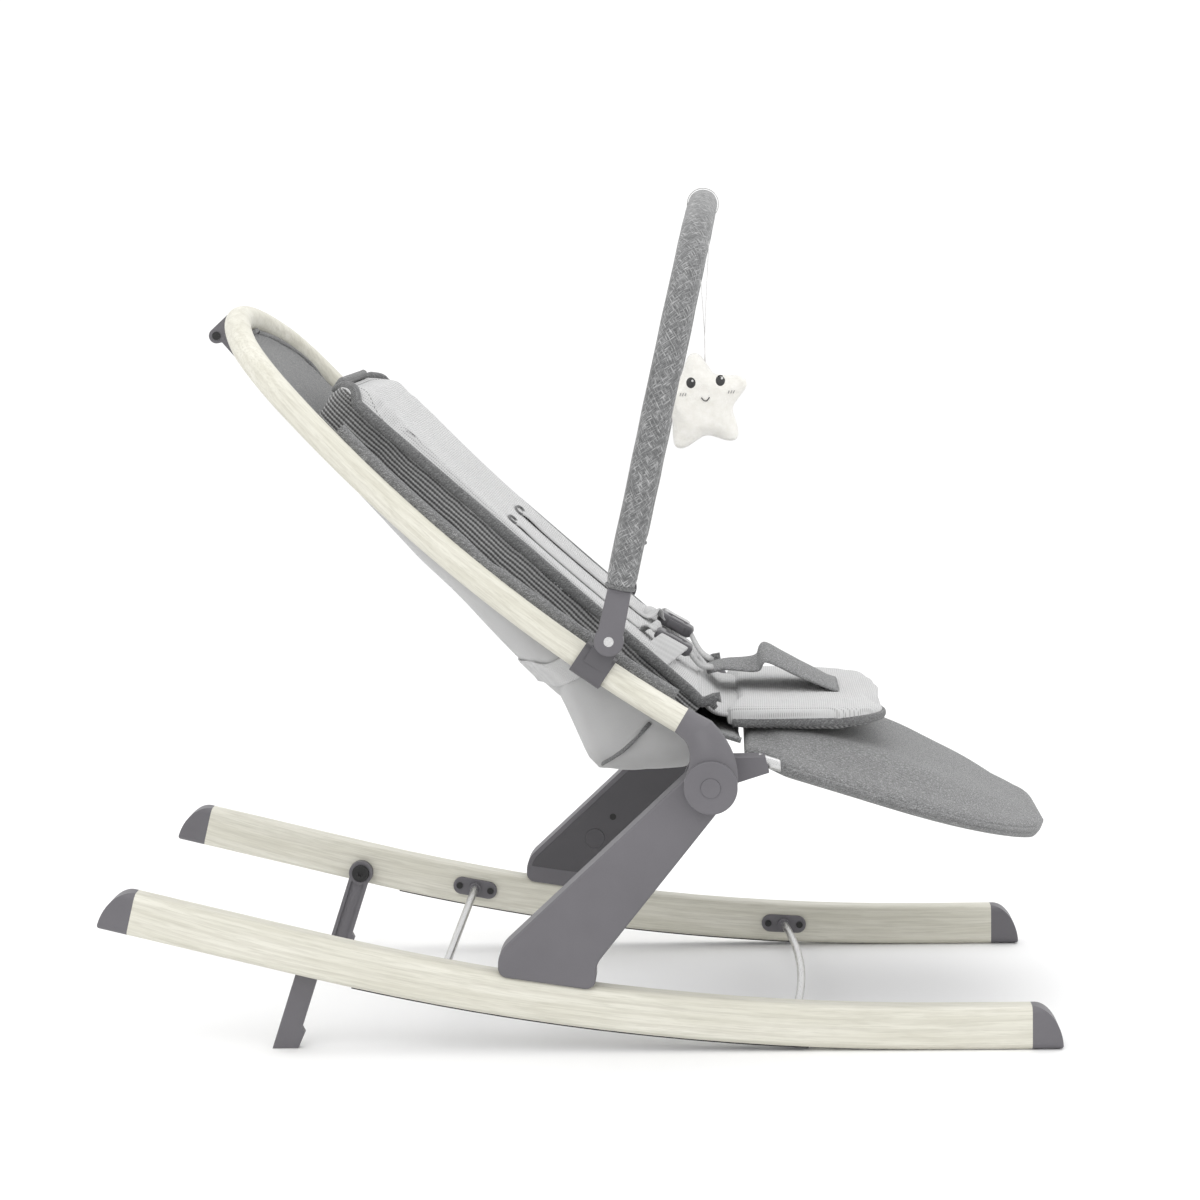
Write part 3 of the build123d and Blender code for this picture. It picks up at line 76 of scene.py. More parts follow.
# ---- Shaders --------------------------------------------------------------
class Shader:
    """A small helper around one material's node tree."""

    def __init__(self, name, roughness=0.6, sheen=0.0):
        self.material = bpy.data.materials.new(name)
        self.material.use_nodes = True
        self.tree = self.material.node_tree
        self.bsdf = self.tree.nodes["Principled BSDF"]
        self.bsdf.inputs["Roughness"].default_value = roughness
        self.bsdf.inputs["Sheen Weight"].default_value = sheen
        self.coords = self.node("ShaderNodeTexCoord").outputs["Object"]

    def node(self, kind, inputs=None, **settings):
        made = self.tree.nodes.new(kind)
        for key, value in settings.items():
            setattr(made, key, value)
        for key, value in (inputs or {}).items():
            self.put(made.inputs[key], value)
        return made

    def put(self, socket, value):
        if isinstance(value, bpy.types.NodeSocket):
            self.tree.links.new(value, socket)
        else:
            socket.default_value = value

    def math(self, operation, a, b=0.0):
        made = self.node("ShaderNodeMath", operation=operation)
        self.put(made.inputs[0], a)
        self.put(made.inputs[1], b)
        return made.outputs[0]

    def turned(self, slope=0.0, scale=(1, 1, 1)):
        """Object coordinates with X along a slope, stretched by a scale."""
        mapping = self.node("ShaderNodeMapping", {
            "Vector": self.coords, "Rotation": (0, -math.radians(slope), 0), "Scale": scale,
        })
        return mapping.outputs[0]

    def round_arc(self, x, z, radius):
        """Coordinates along an arc about a point in side view: length along it, Y, and distance outward."""
        axes = self.node("ShaderNodeSeparateXYZ", {"Vector": self.coords}).outputs
        across, high = self.math("SUBTRACT", axes[0], x), self.math("SUBTRACT", axes[2], z)
        along = self.math("MULTIPLY", self.math("ARCTAN2", high, across), radius)
        squares = self.math("ADD", self.math("POWER", across, 2.0), self.math("POWER", high, 2.0))
        away = self.math("SQRT", squares)
        joined = self.node("ShaderNodeCombineXYZ", {"X": along, "Y": axes[1], "Z": away})
        return joined.outputs[0]

    def stretched(self, vector, scale):
        return self.node("ShaderNodeMapping", {"Vector": vector, "Scale": scale}).outputs[0]

    def noise(self, vector, scale, detail=3.0, roughness=0.6):
        made = self.node("ShaderNodeTexNoise", {
            "Vector": vector, "Scale": scale, "Detail": detail, "Roughness": roughness,
        })
        return made.outputs[0]

    def ramp(self, factor, *stops):
        """Colour ramp through (position, colour) stops."""
        made = self.node("ShaderNodeValToRGB", {"Fac": factor})
        elements = made.color_ramp.elements
        for index, (position, colour) in enumerate(stops):
            element = elements[index] if index < 2 else elements.new(position)
            element.position = position
            element.color = (*colour, 1)
        return made.outputs[0]

    def mix(self, factor, a, b):
        made = self.node("ShaderNodeMix", data_type="RGBA")
        self.put(made.inputs[0], factor)
        for socket, value in ((made.inputs[6], a), (made.inputs[7], b)):
            self.put(socket, (*value, 1) if isinstance(value, tuple) else value)
        return made.outputs[2]

    def waves(self, vector, *pitches):
        """Product of sines with the given pitches in metres along X, Y and Z; 0 leaves an axis out."""
        axes = self.node("ShaderNodeSeparateXYZ", {"Vector": vector}).outputs
        total = None
        for axis, pitch in zip(axes, pitches):
            if pitch:
                wave = self.math("SINE", self.math("MULTIPLY", axis, 2 * math.pi / pitch))
                total = wave if total is None else self.math("MULTIPLY", total, wave)
        return total

    def bump(self, height, distance=0.0004, strength=0.6):
        made = self.node("ShaderNodeBump", {"Height": height, "Distance": distance, "Strength": strength})
        self.put(self.bsdf.inputs["Normal"], made.outputs[0])

    def colour(self, value):
        self.put(self.bsdf.inputs["Base Color"], value if not isinstance(value, tuple) else (*value, 1))


def grey(value, warm=0.0):
    return (value * (1 + warm), value, value * (1 - warm))


def wood(name, x, z, radius):
    """Pale wood-grain film: long fine streaks along the tube with soft figure in them."""
    s = Shader(name, 0.5)
    arc = s.round_arc(x, z, radius)
    figure = s.noise(s.stretched(arc, (1, 10, 10)), 7, 4, 0.6)
    streaks = s.noise(s.stretched(arc, (1, 26, 26)), 26, 3, 0.7)
    fine = s.noise(s.stretched(arc, (1, 40, 40)), 70, 2, 0.7)
    rings = s.node("ShaderNodeTexWave", {
        "Vector": s.stretched(arc, (1, 16, 16)), "Scale": 2.6, "Distortion": 6.0,
        "Detail": 3.0, "Detail Scale": 1.0,
    }, bands_direction="Z").outputs[1]
    base = s.ramp(figure, (0.3, (0.60, 0.585, 0.50)), (0.7, (0.72, 0.705, 0.63)))
    base = s.mix(s.math("MULTIPLY", s.ramp(streaks, (0.46, (0, 0, 0)), (0.66, (1, 1, 1))), 0.45),
                 base, (0.43, 0.415, 0.345))
    base = s.mix(s.math("MULTIPLY", s.ramp(rings, (0.6, (0, 0, 0)), (0.92, (1, 1, 1))), 0.25),
                 base, (0.45, 0.43, 0.36))
    base = s.mix(s.math("MULTIPLY", s.ramp(fine, (0.5, (0, 0, 0)), (0.68, (1, 1, 1))), 0.3),
                 base, (0.50, 0.485, 0.415))
    s.colour(base)
    s.bump(streaks, 0.00015, 0.5)
    return s.material


def plastic(name, value, roughness=0.5):
    """Moulded plastic with a fine spark-eroded surface and slightly worn tone."""
    def tone(share):
        return (value * share * 1.02, value * share * 0.98, value * share * 1.07)

    s = Shader(name, roughness)
    cloudy = s.noise(s.coords, 18, 3, 0.5)
    dust = s.noise(s.coords, 700, 2, 0.6)
    base = s.ramp(cloudy, (0.3, tone(0.92)), (0.75, tone(1.1)))
    s.colour(s.mix(s.math("MULTIPLY", dust, 0.10), base, tone(1.8)))
    shine = s.ramp(cloudy, (0.3, grey(roughness - 0.06)), (0.8, grey(roughness + 0.1)))
    s.put(s.bsdf.inputs["Roughness"], shine)
    s.bump(dust, 0.00006, 0.7)
    return s.material


def metal(name, value, roughness=0.3):
    s = Shader(name, roughness)
    s.bsdf.inputs["Metallic"].default_value = 1.0
    brushed = s.noise(s.turned(0, (300, 8, 300)), 4, 3, 0.6)
    s.colour(s.ramp(brushed, (0.3, grey(value * 0.8)), (0.7, grey(value * 1.1))))
    shine = s.ramp(brushed, (0.2, grey(roughness - 0.1)), (0.8, grey(roughness + 0.12)))
    s.put(s.bsdf.inputs["Roughness"], shine)
    s.bump(brushed, 0.00005, 0.4)
    return s.material


def melange(name, slope, dark=0.095, light=0.30, pitch=0.0016):
    """Woven two-tone yarn: dark ground with pale flecks along the threads."""
    s = Shader(name, 0.9, 0.25)
    along = s.noise(s.turned(slope, (1, 3.2, 3.2)), 330, 2, 0.7)
    across = s.noise(s.turned(slope, (3.2, 1, 3.2)), 330, 2, 0.7)
    flecks = s.math("ADD", s.math("MULTIPLY", along, 0.5), s.math("MULTIPLY", across, 0.5))
    cloudy = s.noise(s.coords, 26, 3, 0.5)
    base = s.ramp(flecks, (0.38, grey(dark, -0.015)), (0.52, grey((dark + light) / 2, -0.01)),
                  (0.64, grey(light * 1.25, -0.005)))
    weave = s.waves(s.turned(slope), pitch, pitch)
    base = s.mix(s.math("MULTIPLY", s.math("MULTIPLY", weave, 0.5), 0.5), base, grey(dark * 0.6))
    s.colour(s.mix(s.math("MULTIPLY", cloudy, 0.18), base, grey(light)))
    s.bump(s.math("ADD", weave, s.math("MULTIPLY", flecks, 2.0)), 0.0004, 0.7)
    return s.material


def hatch(name):
    """The sleeve's fabric: a diagonal cross-hatch of pale and dark threads, laid out on the UV map."""
    s = Shader(name, 0.9, 0.25)
    uv = s.node("ShaderNodeTexCoord").outputs["UV"]
    turned = s.node("ShaderNodeMapping", {"Vector": uv, "Rotation": (0, 0, math.radians(42))}).outputs[0]
    warp, weft = [
        s.noise(s.node("ShaderNodeMapping", {"Vector": turned, "Scale": scale}).outputs[0], 1.0, 2, 0.6)
        for scale in ((900, 120, 1), (120, 900, 1))
    ]
    threads = s.math("MAXIMUM", warp, weft)
    patches = s.noise(uv, 60, 3, 0.6)
    value = s.math("ADD", threads, s.math("MULTIPLY", s.math("SUBTRACT", patches, 0.5), 0.16))
    s.colour(s.ramp(value, (0.46, grey(0.105, -0.01)), (0.58, grey(0.2, -0.01)), (0.74, grey(0.46))))
    s.bump(threads, 0.0005, 0.8)
    return s.material


def cloth(name, value, slope=0.0, pitch=0.0009, warm=0.0, ribs=0.0, sides=False):
    """Smooth woven cloth or webbing; ribs adds lengthwise ridges."""
    s = Shader(name, 0.85, 0.3)
    cloudy = s.noise(s.coords, 14, 3, 0.5)
    thread = s.noise(s.turned(slope, (1, 5, 5)), 420, 2, 0.6)
    weave = s.waves(s.turned(slope), pitch, 0, pitch) if sides else s.waves(s.turned(slope), pitch, pitch)
    base = s.ramp(cloudy, (0.3, grey(value * 0.93, warm)), (0.75, grey(value * 1.04, warm)))
    base = s.mix(s.math("MULTIPLY", thread, 0.22), base, grey(value * 0.72, warm))
    height = s.math("ADD", weave, thread)
    if ribs:
        lines = s.waves(s.turned(slope), 0, ribs)
        base = s.mix(s.math("MULTIPLY", s.math("ADD", lines, 1.0), 0.10), base, grey(value * 0.6, warm))
        height = s.math("ADD", height, lines)
    s.colour(base)
    s.bump(height, 0.0003, 0.6)
    return s.material


def air_mesh(name, slope, value=0.56):
    """Spacer mesh: staggered rows of small dark holes in a pale knit."""
    s = Shader(name, 0.85, 0.3)
    space = s.turned(slope)
    axes = s.node("ShaderNodeSeparateXYZ", {"Vector": space}).outputs
    pitch = 0.0036
    diagonal_a = s.math("SINE", s.math("MULTIPLY", s.math("ADD", axes[0], axes[1]), 2 * math.pi / pitch))
    diagonal_b = s.math("SINE", s.math("MULTIPLY", s.math("SUBTRACT", axes[0], axes[1]), 2 * math.pi / pitch))
    holes = s.math("MULTIPLY", diagonal_a, diagonal_b)
    knit = s.noise(s.turned(slope, (2.5, 1, 1)), 420, 2, 0.6)
    cloudy = s.noise(s.coords, 12, 3, 0.5)
    base = s.ramp(cloudy, (0.3, grey(value * 0.94)), (0.75, grey(value * 1.05)))
    base = s.mix(s.math("MULTIPLY", knit, 0.15), base, grey(value * 0.7))
    base = s.mix(s.ramp(holes, (0.35, (0, 0, 0)), (0.75, (0.8, 0.8, 0.8))), base, grey(value * 0.42))
    s.colour(base)
    s.bump(s.math("SUBTRACT", knit, s.math("MULTIPLY", holes, 0.8)), 0.0005, 0.6)
    return s.material


def rib_knit(name, slope):
    """Two-tone rib knit of the insert's sides: fine lines along the pad."""
    s = Shader(name, 0.9, 0.25)
    space = s.turned(slope)
    bend = s.math("MULTIPLY", s.noise(s.coords, 30, 2, 0.5), 0.004)
    axes = s.node("ShaderNodeSeparateXYZ", {"Vector": space}).outputs
    height = s.math("ADD", s.math("ADD", axes[2], s.math("MULTIPLY", axes[0], 0.05)), bend)
    lines = s.math("SINE", s.math("MULTIPLY", height, 2 * math.pi / 0.0034))
    steps = s.math("SINE", s.math("MULTIPLY", axes[0], 2 * math.pi / 0.0026))
    knit = s.math("ADD", lines, s.math("MULTIPLY", steps, 0.35))
    s.colour(s.ramp(s.math("ADD", s.math("MULTIPLY", knit, 0.4), 0.5),
                    (0.2, grey(0.10)), (0.5, grey(0.24)), (0.85, grey(0.46))))
    s.bump(knit, 0.0006, 0.8)
    return s.material


def plush(name, value=0.86):
    s = Shader(name, 0.95, 0.6)
    fur = s.noise(s.coords, 900, 3, 0.7)
    tufts = s.noise(s.coords, 160, 3, 0.6)
    base = s.ramp(tufts, (0.3, (value * 0.90, value * 0.88, value * 0.82)),
                  (0.7, (value, value * 0.985, value * 0.94)))
    s.colour(s.mix(s.math("MULTIPLY", fur, 0.15), base, (value * 0.75, value * 0.73, value * 0.67)))
    s.bump(s.math("ADD", fur, tufts), 0.0009, 0.7)
    return s.material


def thread(name, value):
    s = Shader(name, 0.8, 0.2)
    twist = s.noise(s.coords, 1400, 2, 0.6)
    s.colour(s.ramp(twist, (0.35, grey(value * 0.75)), (0.7, grey(value * 1.2))))
    s.bump(twist, 0.0002, 0.6)
    return s.material


def paper_floor():
    s = Shader("studio_floor", 0.9)
    tone = s.noise(s.coords, 1.5, 2, 0.5)
    s.colour(s.ramp(tone, (0.3, grey(0.925)), (0.7, grey(0.93))))
    return s.material


look = {
    "rail": wood("wood_rail", 0.799, 1.455, 1.384),
    "rocker": wood("wood_rocker", 0.298, 2.158, 2.14),
    "dark": plastic("moulded_grey", 0.118),
    "inner": plastic("moulded_inner", 0.066),
    "clamp": plastic("moulded_clamp", 0.085),
    "steel": metal("satin_steel", 0.62),
    "screw": metal("black_screw", 0.05, 0.45),
    "rubber": plastic("grip_rubber", 0.03, 0.8),
    "melange": melange("melange_seat", BACK_SLOPE),
    "melange_leg": melange("melange_leg", -LEG_SLOPE),
    "binding": melange("melange_binding", BACK_SLOPE, 0.075, 0.20, 0.0022),
    "hatch": hatch("sleeve_hatch"),
    "pale": cloth("pale_cloth", 0.52, BACK_SLOPE, sides=True),
    "webbing": cloth("pale_webbing", 0.54, BACK_SLOPE, 0.0016, 0.0, 0.0042),
    "mesh": air_mesh("air_mesh_back", BACK_SLOPE),
    "mesh_seat": air_mesh("air_mesh_seat", 0),
    "rib": rib_knit("rib_knit_side", BACK_SLOPE),
    "plush": plush("star_plush"),
    "ribbon": cloth("toy_ribbon_satin", 0.80, 0, 0.0012, 0.01),
    "thread_dark": thread("thread_dark", 0.035),
    # pale thread for the eye glints: a painted highlight, not a real stitch
    "painted_highlight_thread": thread("painted_highlight_thread", 0.66),
    "thread_grey": thread("thread_grey", 0.28),
    "buckle": plastic("buckle_plastic", 0.075, 0.38),
}


# ---- Mesh helpers ---------------------------------------------------------
def new_object(name, mesh, materials):
    made = bpy.data.objects.new(name, mesh)
    scene.collection.objects.link(made)
    for key in materials:
        mesh.materials.append(look[key])
    for face in mesh.polygons:
        face.use_smooth = True
    return made


def mesh_from(name, points, faces, materials, uvs=None):
    mesh = bpy.data.meshes.new(name)
    mesh.from_pydata([tuple(p) for p in points], [], faces)
    mesh.validate()
    if uvs is not None:
        layer = mesh.uv_layers.new(name="UVMap")
        for loop in mesh.loops:
            layer.data[loop.index].uv = uvs[loop.vertex_index]
    mesh.update()
    return new_object(name, mesh, materials)


def smooth_path(points, steps):
    """Catmull-Rom curve through points."""
    points = [Vector(p) for p in points]
    count = len(points)
    out = []
    for i in range(count - 1):
        b, c = points[i], points[i + 1]
        a = points[i - 1] if i else b * 2 - c
        d = points[i + 2] if i + 2 < count else c * 2 - b
        for k in range(steps):
            t = k / steps
            out.append(0.5 * (2 * b + (c - a) * t + (2 * a - 5 * b + 4 * c - d) * t * t
                              + (3 * b - a - 3 * c + d) * t ** 3))
    out.append(points[-1])
    return out


def ring(half_width, half_height, power=2.0, count=16):
    """Superellipse section: power 2 is an ellipse, more is boxier."""
    section = []
    for k in range(count):
        angle = 2 * math.pi * (k + 0.5) / count
        c, s = math.cos(angle), math.sin(angle)
        section.append((math.copysign(abs(c) ** (2 / power), c) * half_width,
                        math.copysign(abs(s) ** (2 / power), s) * half_height))
    return section


def sweep(name, path, section, side, materials, closed=False, width=None):
    """Sweep a section along a path. side is the section's first axis, kept as near to it as the path allows.
    width(t) scales the section's first axis along the path."""
    path = [Vector(p) for p in path]
    count, size = len(path), len(section)
    points, uvs, run = [], [], 0.0
    for i, p in enumerate(path):
        before = path[i - 1] if (i or closed) else p
        after = path[(i + 1) % count] if (i < count - 1 or closed) else p
        tangent = (after - before).normalized()
        if i:
            run += (p - path[i - 1]).length
        hint = side(i / (count - 1)) if callable(side) else Vector(side)
        across = (hint - tangent * hint.dot(tangent)).normalized()
        normal = tangent.cross(across)
        stretch = width(i / (count - 1)) if width else 1.0
        around = 0.0
        for k, (a, b) in enumerate(section):
            if k:
                around += math.hypot(a - section[k - 1][0], b - section[k - 1][1])
            points.append(p + across * a * stretch + normal * b)
            uvs.append((around, run))
    faces = []
    for i in range(count if closed else count - 1):
        for k in range(size):
            a, b = i * size + k, i * size + (k + 1) % size
            c, d = ((i + 1) % count) * size + (k + 1) % size, ((i + 1) % count) * size + k
            faces.append((a, b, c, d))
    if not closed:
        faces.append(tuple(range(size))[::-1])
        faces.append(tuple(range((count - 1) * size, count * size)))
    return mesh_from(name, points, faces, materials, uvs)


def bake(obj):
    """Apply all modifiers."""
    bpy.context.view_layer.update()
    graph = bpy.context.evaluated_depsgraph_get()
    mesh = bpy.data.meshes.new_from_object(obj.evaluated_get(graph))
    obj.modifiers.clear()
    obj.data = mesh
    return obj


def subdivide(obj):
    modifier = obj.modifiers.new("subdivide", "SUBSURF")
    modifier.levels = modifier.render_levels = 1
    return bake(obj)


def soft_copy(node, name, voxel, materials):
    """A clean even mesh of a CAD soft solid."""
    mesh = frame["nodes"][node].data.copy()
    mesh.materials.clear()
    obj = new_object(name, mesh, [])
    obj.modifiers.new("even", "REMESH").voxel_size = voxel
    bake(obj)
    for key in materials:
        obj.data.materials.append(look[key])
    return obj


def relax(obj, rounds, factor=0.5):
    modifier = obj.modifiers.new("relax", "SMOOTH")
    modifier.factor = factor
    modifier.iterations = rounds
    return bake(obj)


def inflate(jobs):
    """Cloth under a little inner pressure, for several closed pieces at once, with capped movement."""
    rest = {}
    for obj, pressure, cap in jobs:
        rest[obj] = [v.co.copy() for v in obj.data.vertices]
        cloth_modifier = obj.modifiers.new("inflate", "CLOTH")
        settings = cloth_modifier.settings
        settings.quality = 4
        settings.mass = 0.25
        settings.tension_stiffness = 20
        settings.compression_stiffness = 20
        settings.shear_stiffness = 8
        settings.bending_stiffness = 0.5
        settings.use_pressure = True
        settings.uniform_pressure_force = pressure
        settings.effector_weights.gravity = 0
        cloth_modifier.collision_settings.use_collision = False
        cloth_modifier.point_cache.frame_start = 1
        cloth_modifier.point_cache.frame_end = 20
    for number in range(1, 21):
        scene.frame_set(number)
    graph = bpy.context.evaluated_depsgraph_get()
    for obj, pressure, cap in jobs:
        puffed = [v.co.copy() for v in obj.evaluated_get(graph).data.vertices]
        obj.modifiers.clear()
        for vertex, old, new in zip(obj.data.vertices, rest[obj], puffed):
            move = new - old
            vertex.co = old + move * min(1.0, cap / max(move.length, 1e-9))
    scene.frame_set(1)


def surface(obj):
    bm = bmesh.new()
    bm.from_mesh(obj.data)
    tree = BVHTree.FromBMesh(bm)
    bm.free()
    return tree


def drop(tree, point, direction, fallback=None):
    """Where a ray from a point first meets a surface."""
    hit = tree.ray_cast(Vector(point), Vector(direction).normalized())
    return hit[0] if hit[0] is not None else fallback


def lerp(a, b, t):
    return a + (b - a) * t


def ease(t):
    t = min(1.0, max(0.0, t))
    return t * t * (3 - 2 * t)


def finish_piece(obj, body, nodes=()):
    if nodes:
        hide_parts(*nodes)
    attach(obj, body)
    return obj


def stitches(name, path, side, material, body, length=2.6, gap=1.6, thick=0.45):
    """Short raised stitches in a row along a path."""
    path = [Vector(p) for p in path]
    runs = [0.0]
    for a, b in zip(path, path[1:]):
        runs.append(runs[-1] + (b - a).length)

    def at(distance):
        for i in range(1, len(path)):
            if runs[i] >= distance:
                t = (distance - runs[i - 1]) / max(1e-9, runs[i] - runs[i - 1])
                return path[i - 1].lerp(path[i], t)
        return path[-1]

    points, faces = [], []
    section = ring(thick * MM, thick * MM * 0.7, 2.0, 6)
    distance = gap * MM
    while distance + length * MM < runs[-1]:
        a, b = at(distance), at(distance + length * MM)
        tangent = (b - a).normalized()
        across = (Vector(side) - tangent * Vector(side).dot(tangent)).normalized()
        normal = tangent.cross(across)
        base = len(points)
        for t, fat in ((0.0, 0.35), (0.3, 1.0), (0.7, 1.0), (1.0, 0.35)):
            for u, v in section:
                points.append(a.lerp(b, t) + across * u * fat + normal * v * fat)
        for i in range(3):
            for k in range(6):
                faces.append((base + i * 6 + k, base + i * 6 + (k + 1) % 6,
                              base + (i + 1) * 6 + (k + 1) % 6, base + (i + 1) * 6 + k))
        faces.append(tuple(base + k for k in range(6))[::-1])
        faces.append(tuple(base + 18 + k for k in range(6)))
        distance += (length + gap) * MM
    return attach(mesh_from(name, points, faces, [material]), body)


# ---- Hard parts: looks for the CAD nodes ----------------------------------------
def paint(prefixes, key):
    for name, obj in frame["nodes"].items():
        if name.startswith(prefixes):
            obj.data.materials.clear()
            obj.data.materials.append(look[key])


paint(("rocker_left", "rocker_right"), "rocker")
paint(("seat_loop_tube",), "rail")
paint(("rocker_front_cap", "rocker_rear_cap", "kickstand_left", "kickstand_right", "leg_shell", "hip_elbow",
       "hub_cap", "release_button", "leg_rest_arm", "arm_fitting", "head_bracket", "rod_plates"), "dark")
paint(("leg_inner_cover", "leg_plugs"), "inner")
paint(("toy_bar_clamp",), "clamp")
paint(("pivot_shaft", "release_spring", "rear_cross_rod", "front_cross_rod", "leg_rest_tube", "toy_bar_rod",
       "toy_bar_screws", "leg_fixing_screws"), "steel")
paint(("rod_plate_screws", "kickstand_bolts", "leg_cover_screws", "head_bracket_pin"), "screw")
paint(("grip_strip",), "rubber")


joint = {j["name"]: j for j in frame["joints"]}
for sign, label in ((1, "left"), (-1, "right")):
    node = "release_spring_" + label
    spring = new_object("return_spring_" + label, frame["nodes"][node].data.copy(), [])
    finish_piece(spring, "seat", [node])
    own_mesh(spring)


# ---- Insert: back pad and seat pad ------------------------------------------------
back_along = Vector((-math.cos(math.radians(BACK_SLOPE)), 0, math.sin(math.radians(BACK_SLOPE))))
back_up = Vector((math.sin(math.radians(BACK_SLOPE)), 0, math.cos(math.radians(BACK_SLOPE))))

back_pad = soft_copy("insert_back_pad", "insert_back", 5 * MM, ["mesh", "rib"])
seat_pad = soft_copy("insert_seat_pad", "insert_seat", 4 * MM, ["mesh_seat", "rib"])
relax(back_pad, 4)
relax(seat_pad, 2)
back_low, back_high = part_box("insert_back_pad")
pad_half = back_high.y


def dish(obj, up, depth, half):
    """Press the middle of a pad's top down, so that its sides stand up as bolsters."""
    obj.data.update()
    normals = [v.normal.copy() for v in obj.data.vertices]
    for vertex, normal in zip(obj.data.vertices, normals):
        facing = ease((normal.dot(up) - 0.2) / 0.6)
        middle = 1 - min(1.0, abs(vertex.co.y) / half) ** 2.6
        vertex.co -= up * depth * facing * middle


cover_tree = surface(frame["nodes"]["seat_cover"])


def settle(obj, up, reach, gap):
    """Let a pad's underside down onto the cloth beneath it."""
    obj.data.update()
    normals = [v.normal.copy() for v in obj.data.vertices]
    for vertex, normal in zip(obj.data.vertices, normals):
        if normal.dot(up) < -0.15:
            hit = cover_tree.ray_cast(vertex.co, -up, reach)
            if hit[0] is not None:
                vertex.co = hit[0] + up * gap


def back_pad_middle(point):
    """Height of a point above the line through the pad's two ends."""
    line = Vector((back_high.x, 0, back_low.z + 10 * MM))
    return (point - line).dot(back_up)


settle(back_pad, back_up, 30 * MM, 0.6 * MM)
for vertex in back_pad.data.vertices:
    head = ease((-0.09 - vertex.co.x) / 0.10)
    outward = ease((abs(vertex.co.y) / pad_half - 0.8) / 0.2)
    depth = ease((back_pad_middle(vertex.co) + 4 * MM) / (16 * MM))
    vertex.co += back_up * 9 * MM * head * outward * (1 - depth)
    vertex.co.y *= 1 - 0.09 * head * (1 - depth)
relax(back_pad, 3)
dish(back_pad, back_up, 6 * MM, pad_half)
dish(seat_pad, Z_AXIS, 4 * MM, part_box("insert_seat_pad")[1].y)

star = soft_copy("star_toy", "star_plush_toy", 3 * MM, ["plush"])
relax(star, 12, 0.6)
leg_low, leg_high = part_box("leg_rest_cover")


# ---- Leg rest pillow ---------------------------------------------------------------
leg_tree = surface(frame["nodes"]["leg_rest_cover"])
LEG_CORNER = 135 * MM
leg_flat_x = leg_high.x - LEG_CORNER
tube_low, tube_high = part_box("leg_rest_tube")
TUBE_RADIUS = 5 * MM


def leg_half_width(x):
    narrow = lerp(148 * MM, leg_high.y, ease((x - leg_low.x - 18 * MM) / (14 * MM)))
    if x <= leg_flat_x:
        return narrow
    reach = min(1.0, (x - leg_flat_x) / LEG_CORNER)
    return leg_high.y - LEG_CORNER * (1 - math.sqrt(max(0.0, 1 - reach * reach)))


def leg_height(x, direction):
    """Top or bottom of the pad's solid at X."""
    x = min(leg_high.x - 2 * MM, max(leg_low.x + 1 * MM, x))
    start = Vector((x, 0.06, 0.4 if direction < 0 else 0.0))
    hit = drop(leg_tree, start, (0, 0, direction))
    return hit.z if hit else (leg_low.z + 8 * MM)


def tube_height(x):
    """Centre height of the leg rest tube's side run at X."""
    share = (x - tube_low.x) / (tube_high.x - TUBE_RADIUS - tube_low.x)
    return lerp(tube_high.z - TUBE_RADIUS, tube_low.z + TUBE_RADIUS, share)


def round_off(distance, radius):
    return math.sqrt(max(0.0, 1 - (1 - min(1.0, max(0.0, distance) / radius)) ** 2))


def leg_rest():
    rows, columns = 54, 56
    points = {1: [], -1: []}
    for i in range(rows + 1):
        x = lerp(leg_low.x, leg_high.x - 1 * MM, 1 - (1 - i / rows) ** 1.8)
        seam = tube_height(min(x, tube_high.x)) + 1 * MM
        top = max(leg_height(x, -1), seam + 7.5 * MM)
        low = min(leg_height(x, 1), seam - 8.5 * MM)
        half = leg_half_width(x)
        front = round_off(leg_high.x - 1 * MM - x, 16 * MM)
        for j in range(columns + 1):
            v = -math.cos(math.pi * j / columns)
            y = v * half
            edge = (1 - abs(v)) * half
            rim = round_off(edge, 12 * MM) * front
            swell = ease(edge / (60 * MM)) * round_off(leg_high.x - 1 * MM - x, 60 * MM)
            crease = 0.9 * MM * noise.noise(Vector((x * 34, y * 30, 3.0))) + 1.5 * MM * noise.noise(
                Vector((x * 12, y * 14, 7.0)))
            upper = 7.5 * MM * rim + (top - seam - 7.5 * MM) * swell + crease * swell
            lower = 8.5 * MM * rim + (seam - low - 8.5 * MM) * swell + crease * swell
            points[1].append(Vector((x, y, seam + upper)))
            points[-1].append(Vector((x, y, seam - lower)))
    return rows, columns, points


rows, columns, points = leg_rest()
width = columns + 1


def on_rim(i, j):
    return j in (0, columns) or i == rows or i == 0


index_low = {}
all_points = list(points[1])
for i in range(rows + 1):
    for j in range(width):
        k = i * width + j
        if on_rim(i, j) and i > 0:
            index_low[k] = k
        else:
            index_low[k] = len(all_points)
            all_points.append(points[-1][k])
leg_faces = []
for i in range(rows):
    for j in range(columns):
        a, b, c, d = i * width + j, (i + 1) * width + j, (i + 1) * width + j + 1, i * width + j + 1
        leg_faces.append((a, b, c, d))
        leg_faces.append((index_low[a], index_low[d], index_low[c], index_low[b]))
for j in range(columns):
    leg_faces.append((j, j + 1, index_low[j + 1], index_low[j]))
leg_pad = mesh_from("leg_rest_pad", all_points, leg_faces, ["melange_leg"])

inflate([(back_pad, 4.0, 8 * MM), (seat_pad, 3.0, 5 * MM), (star, 4.0, 5 * MM), (leg_pad, 1.5, 3 * MM)])
for piece in (back_pad, seat_pad, star, leg_pad):
    subdivide(piece)
    for face in piece.data.polygons:
        face.use_smooth = True


def split_sides(obj, up, limit=0.45):
    """Give the top the first material and the sides and underside the second."""
    for face in obj.data.polygons:
        face.material_index = 0 if face.normal.dot(up) > limit else 1


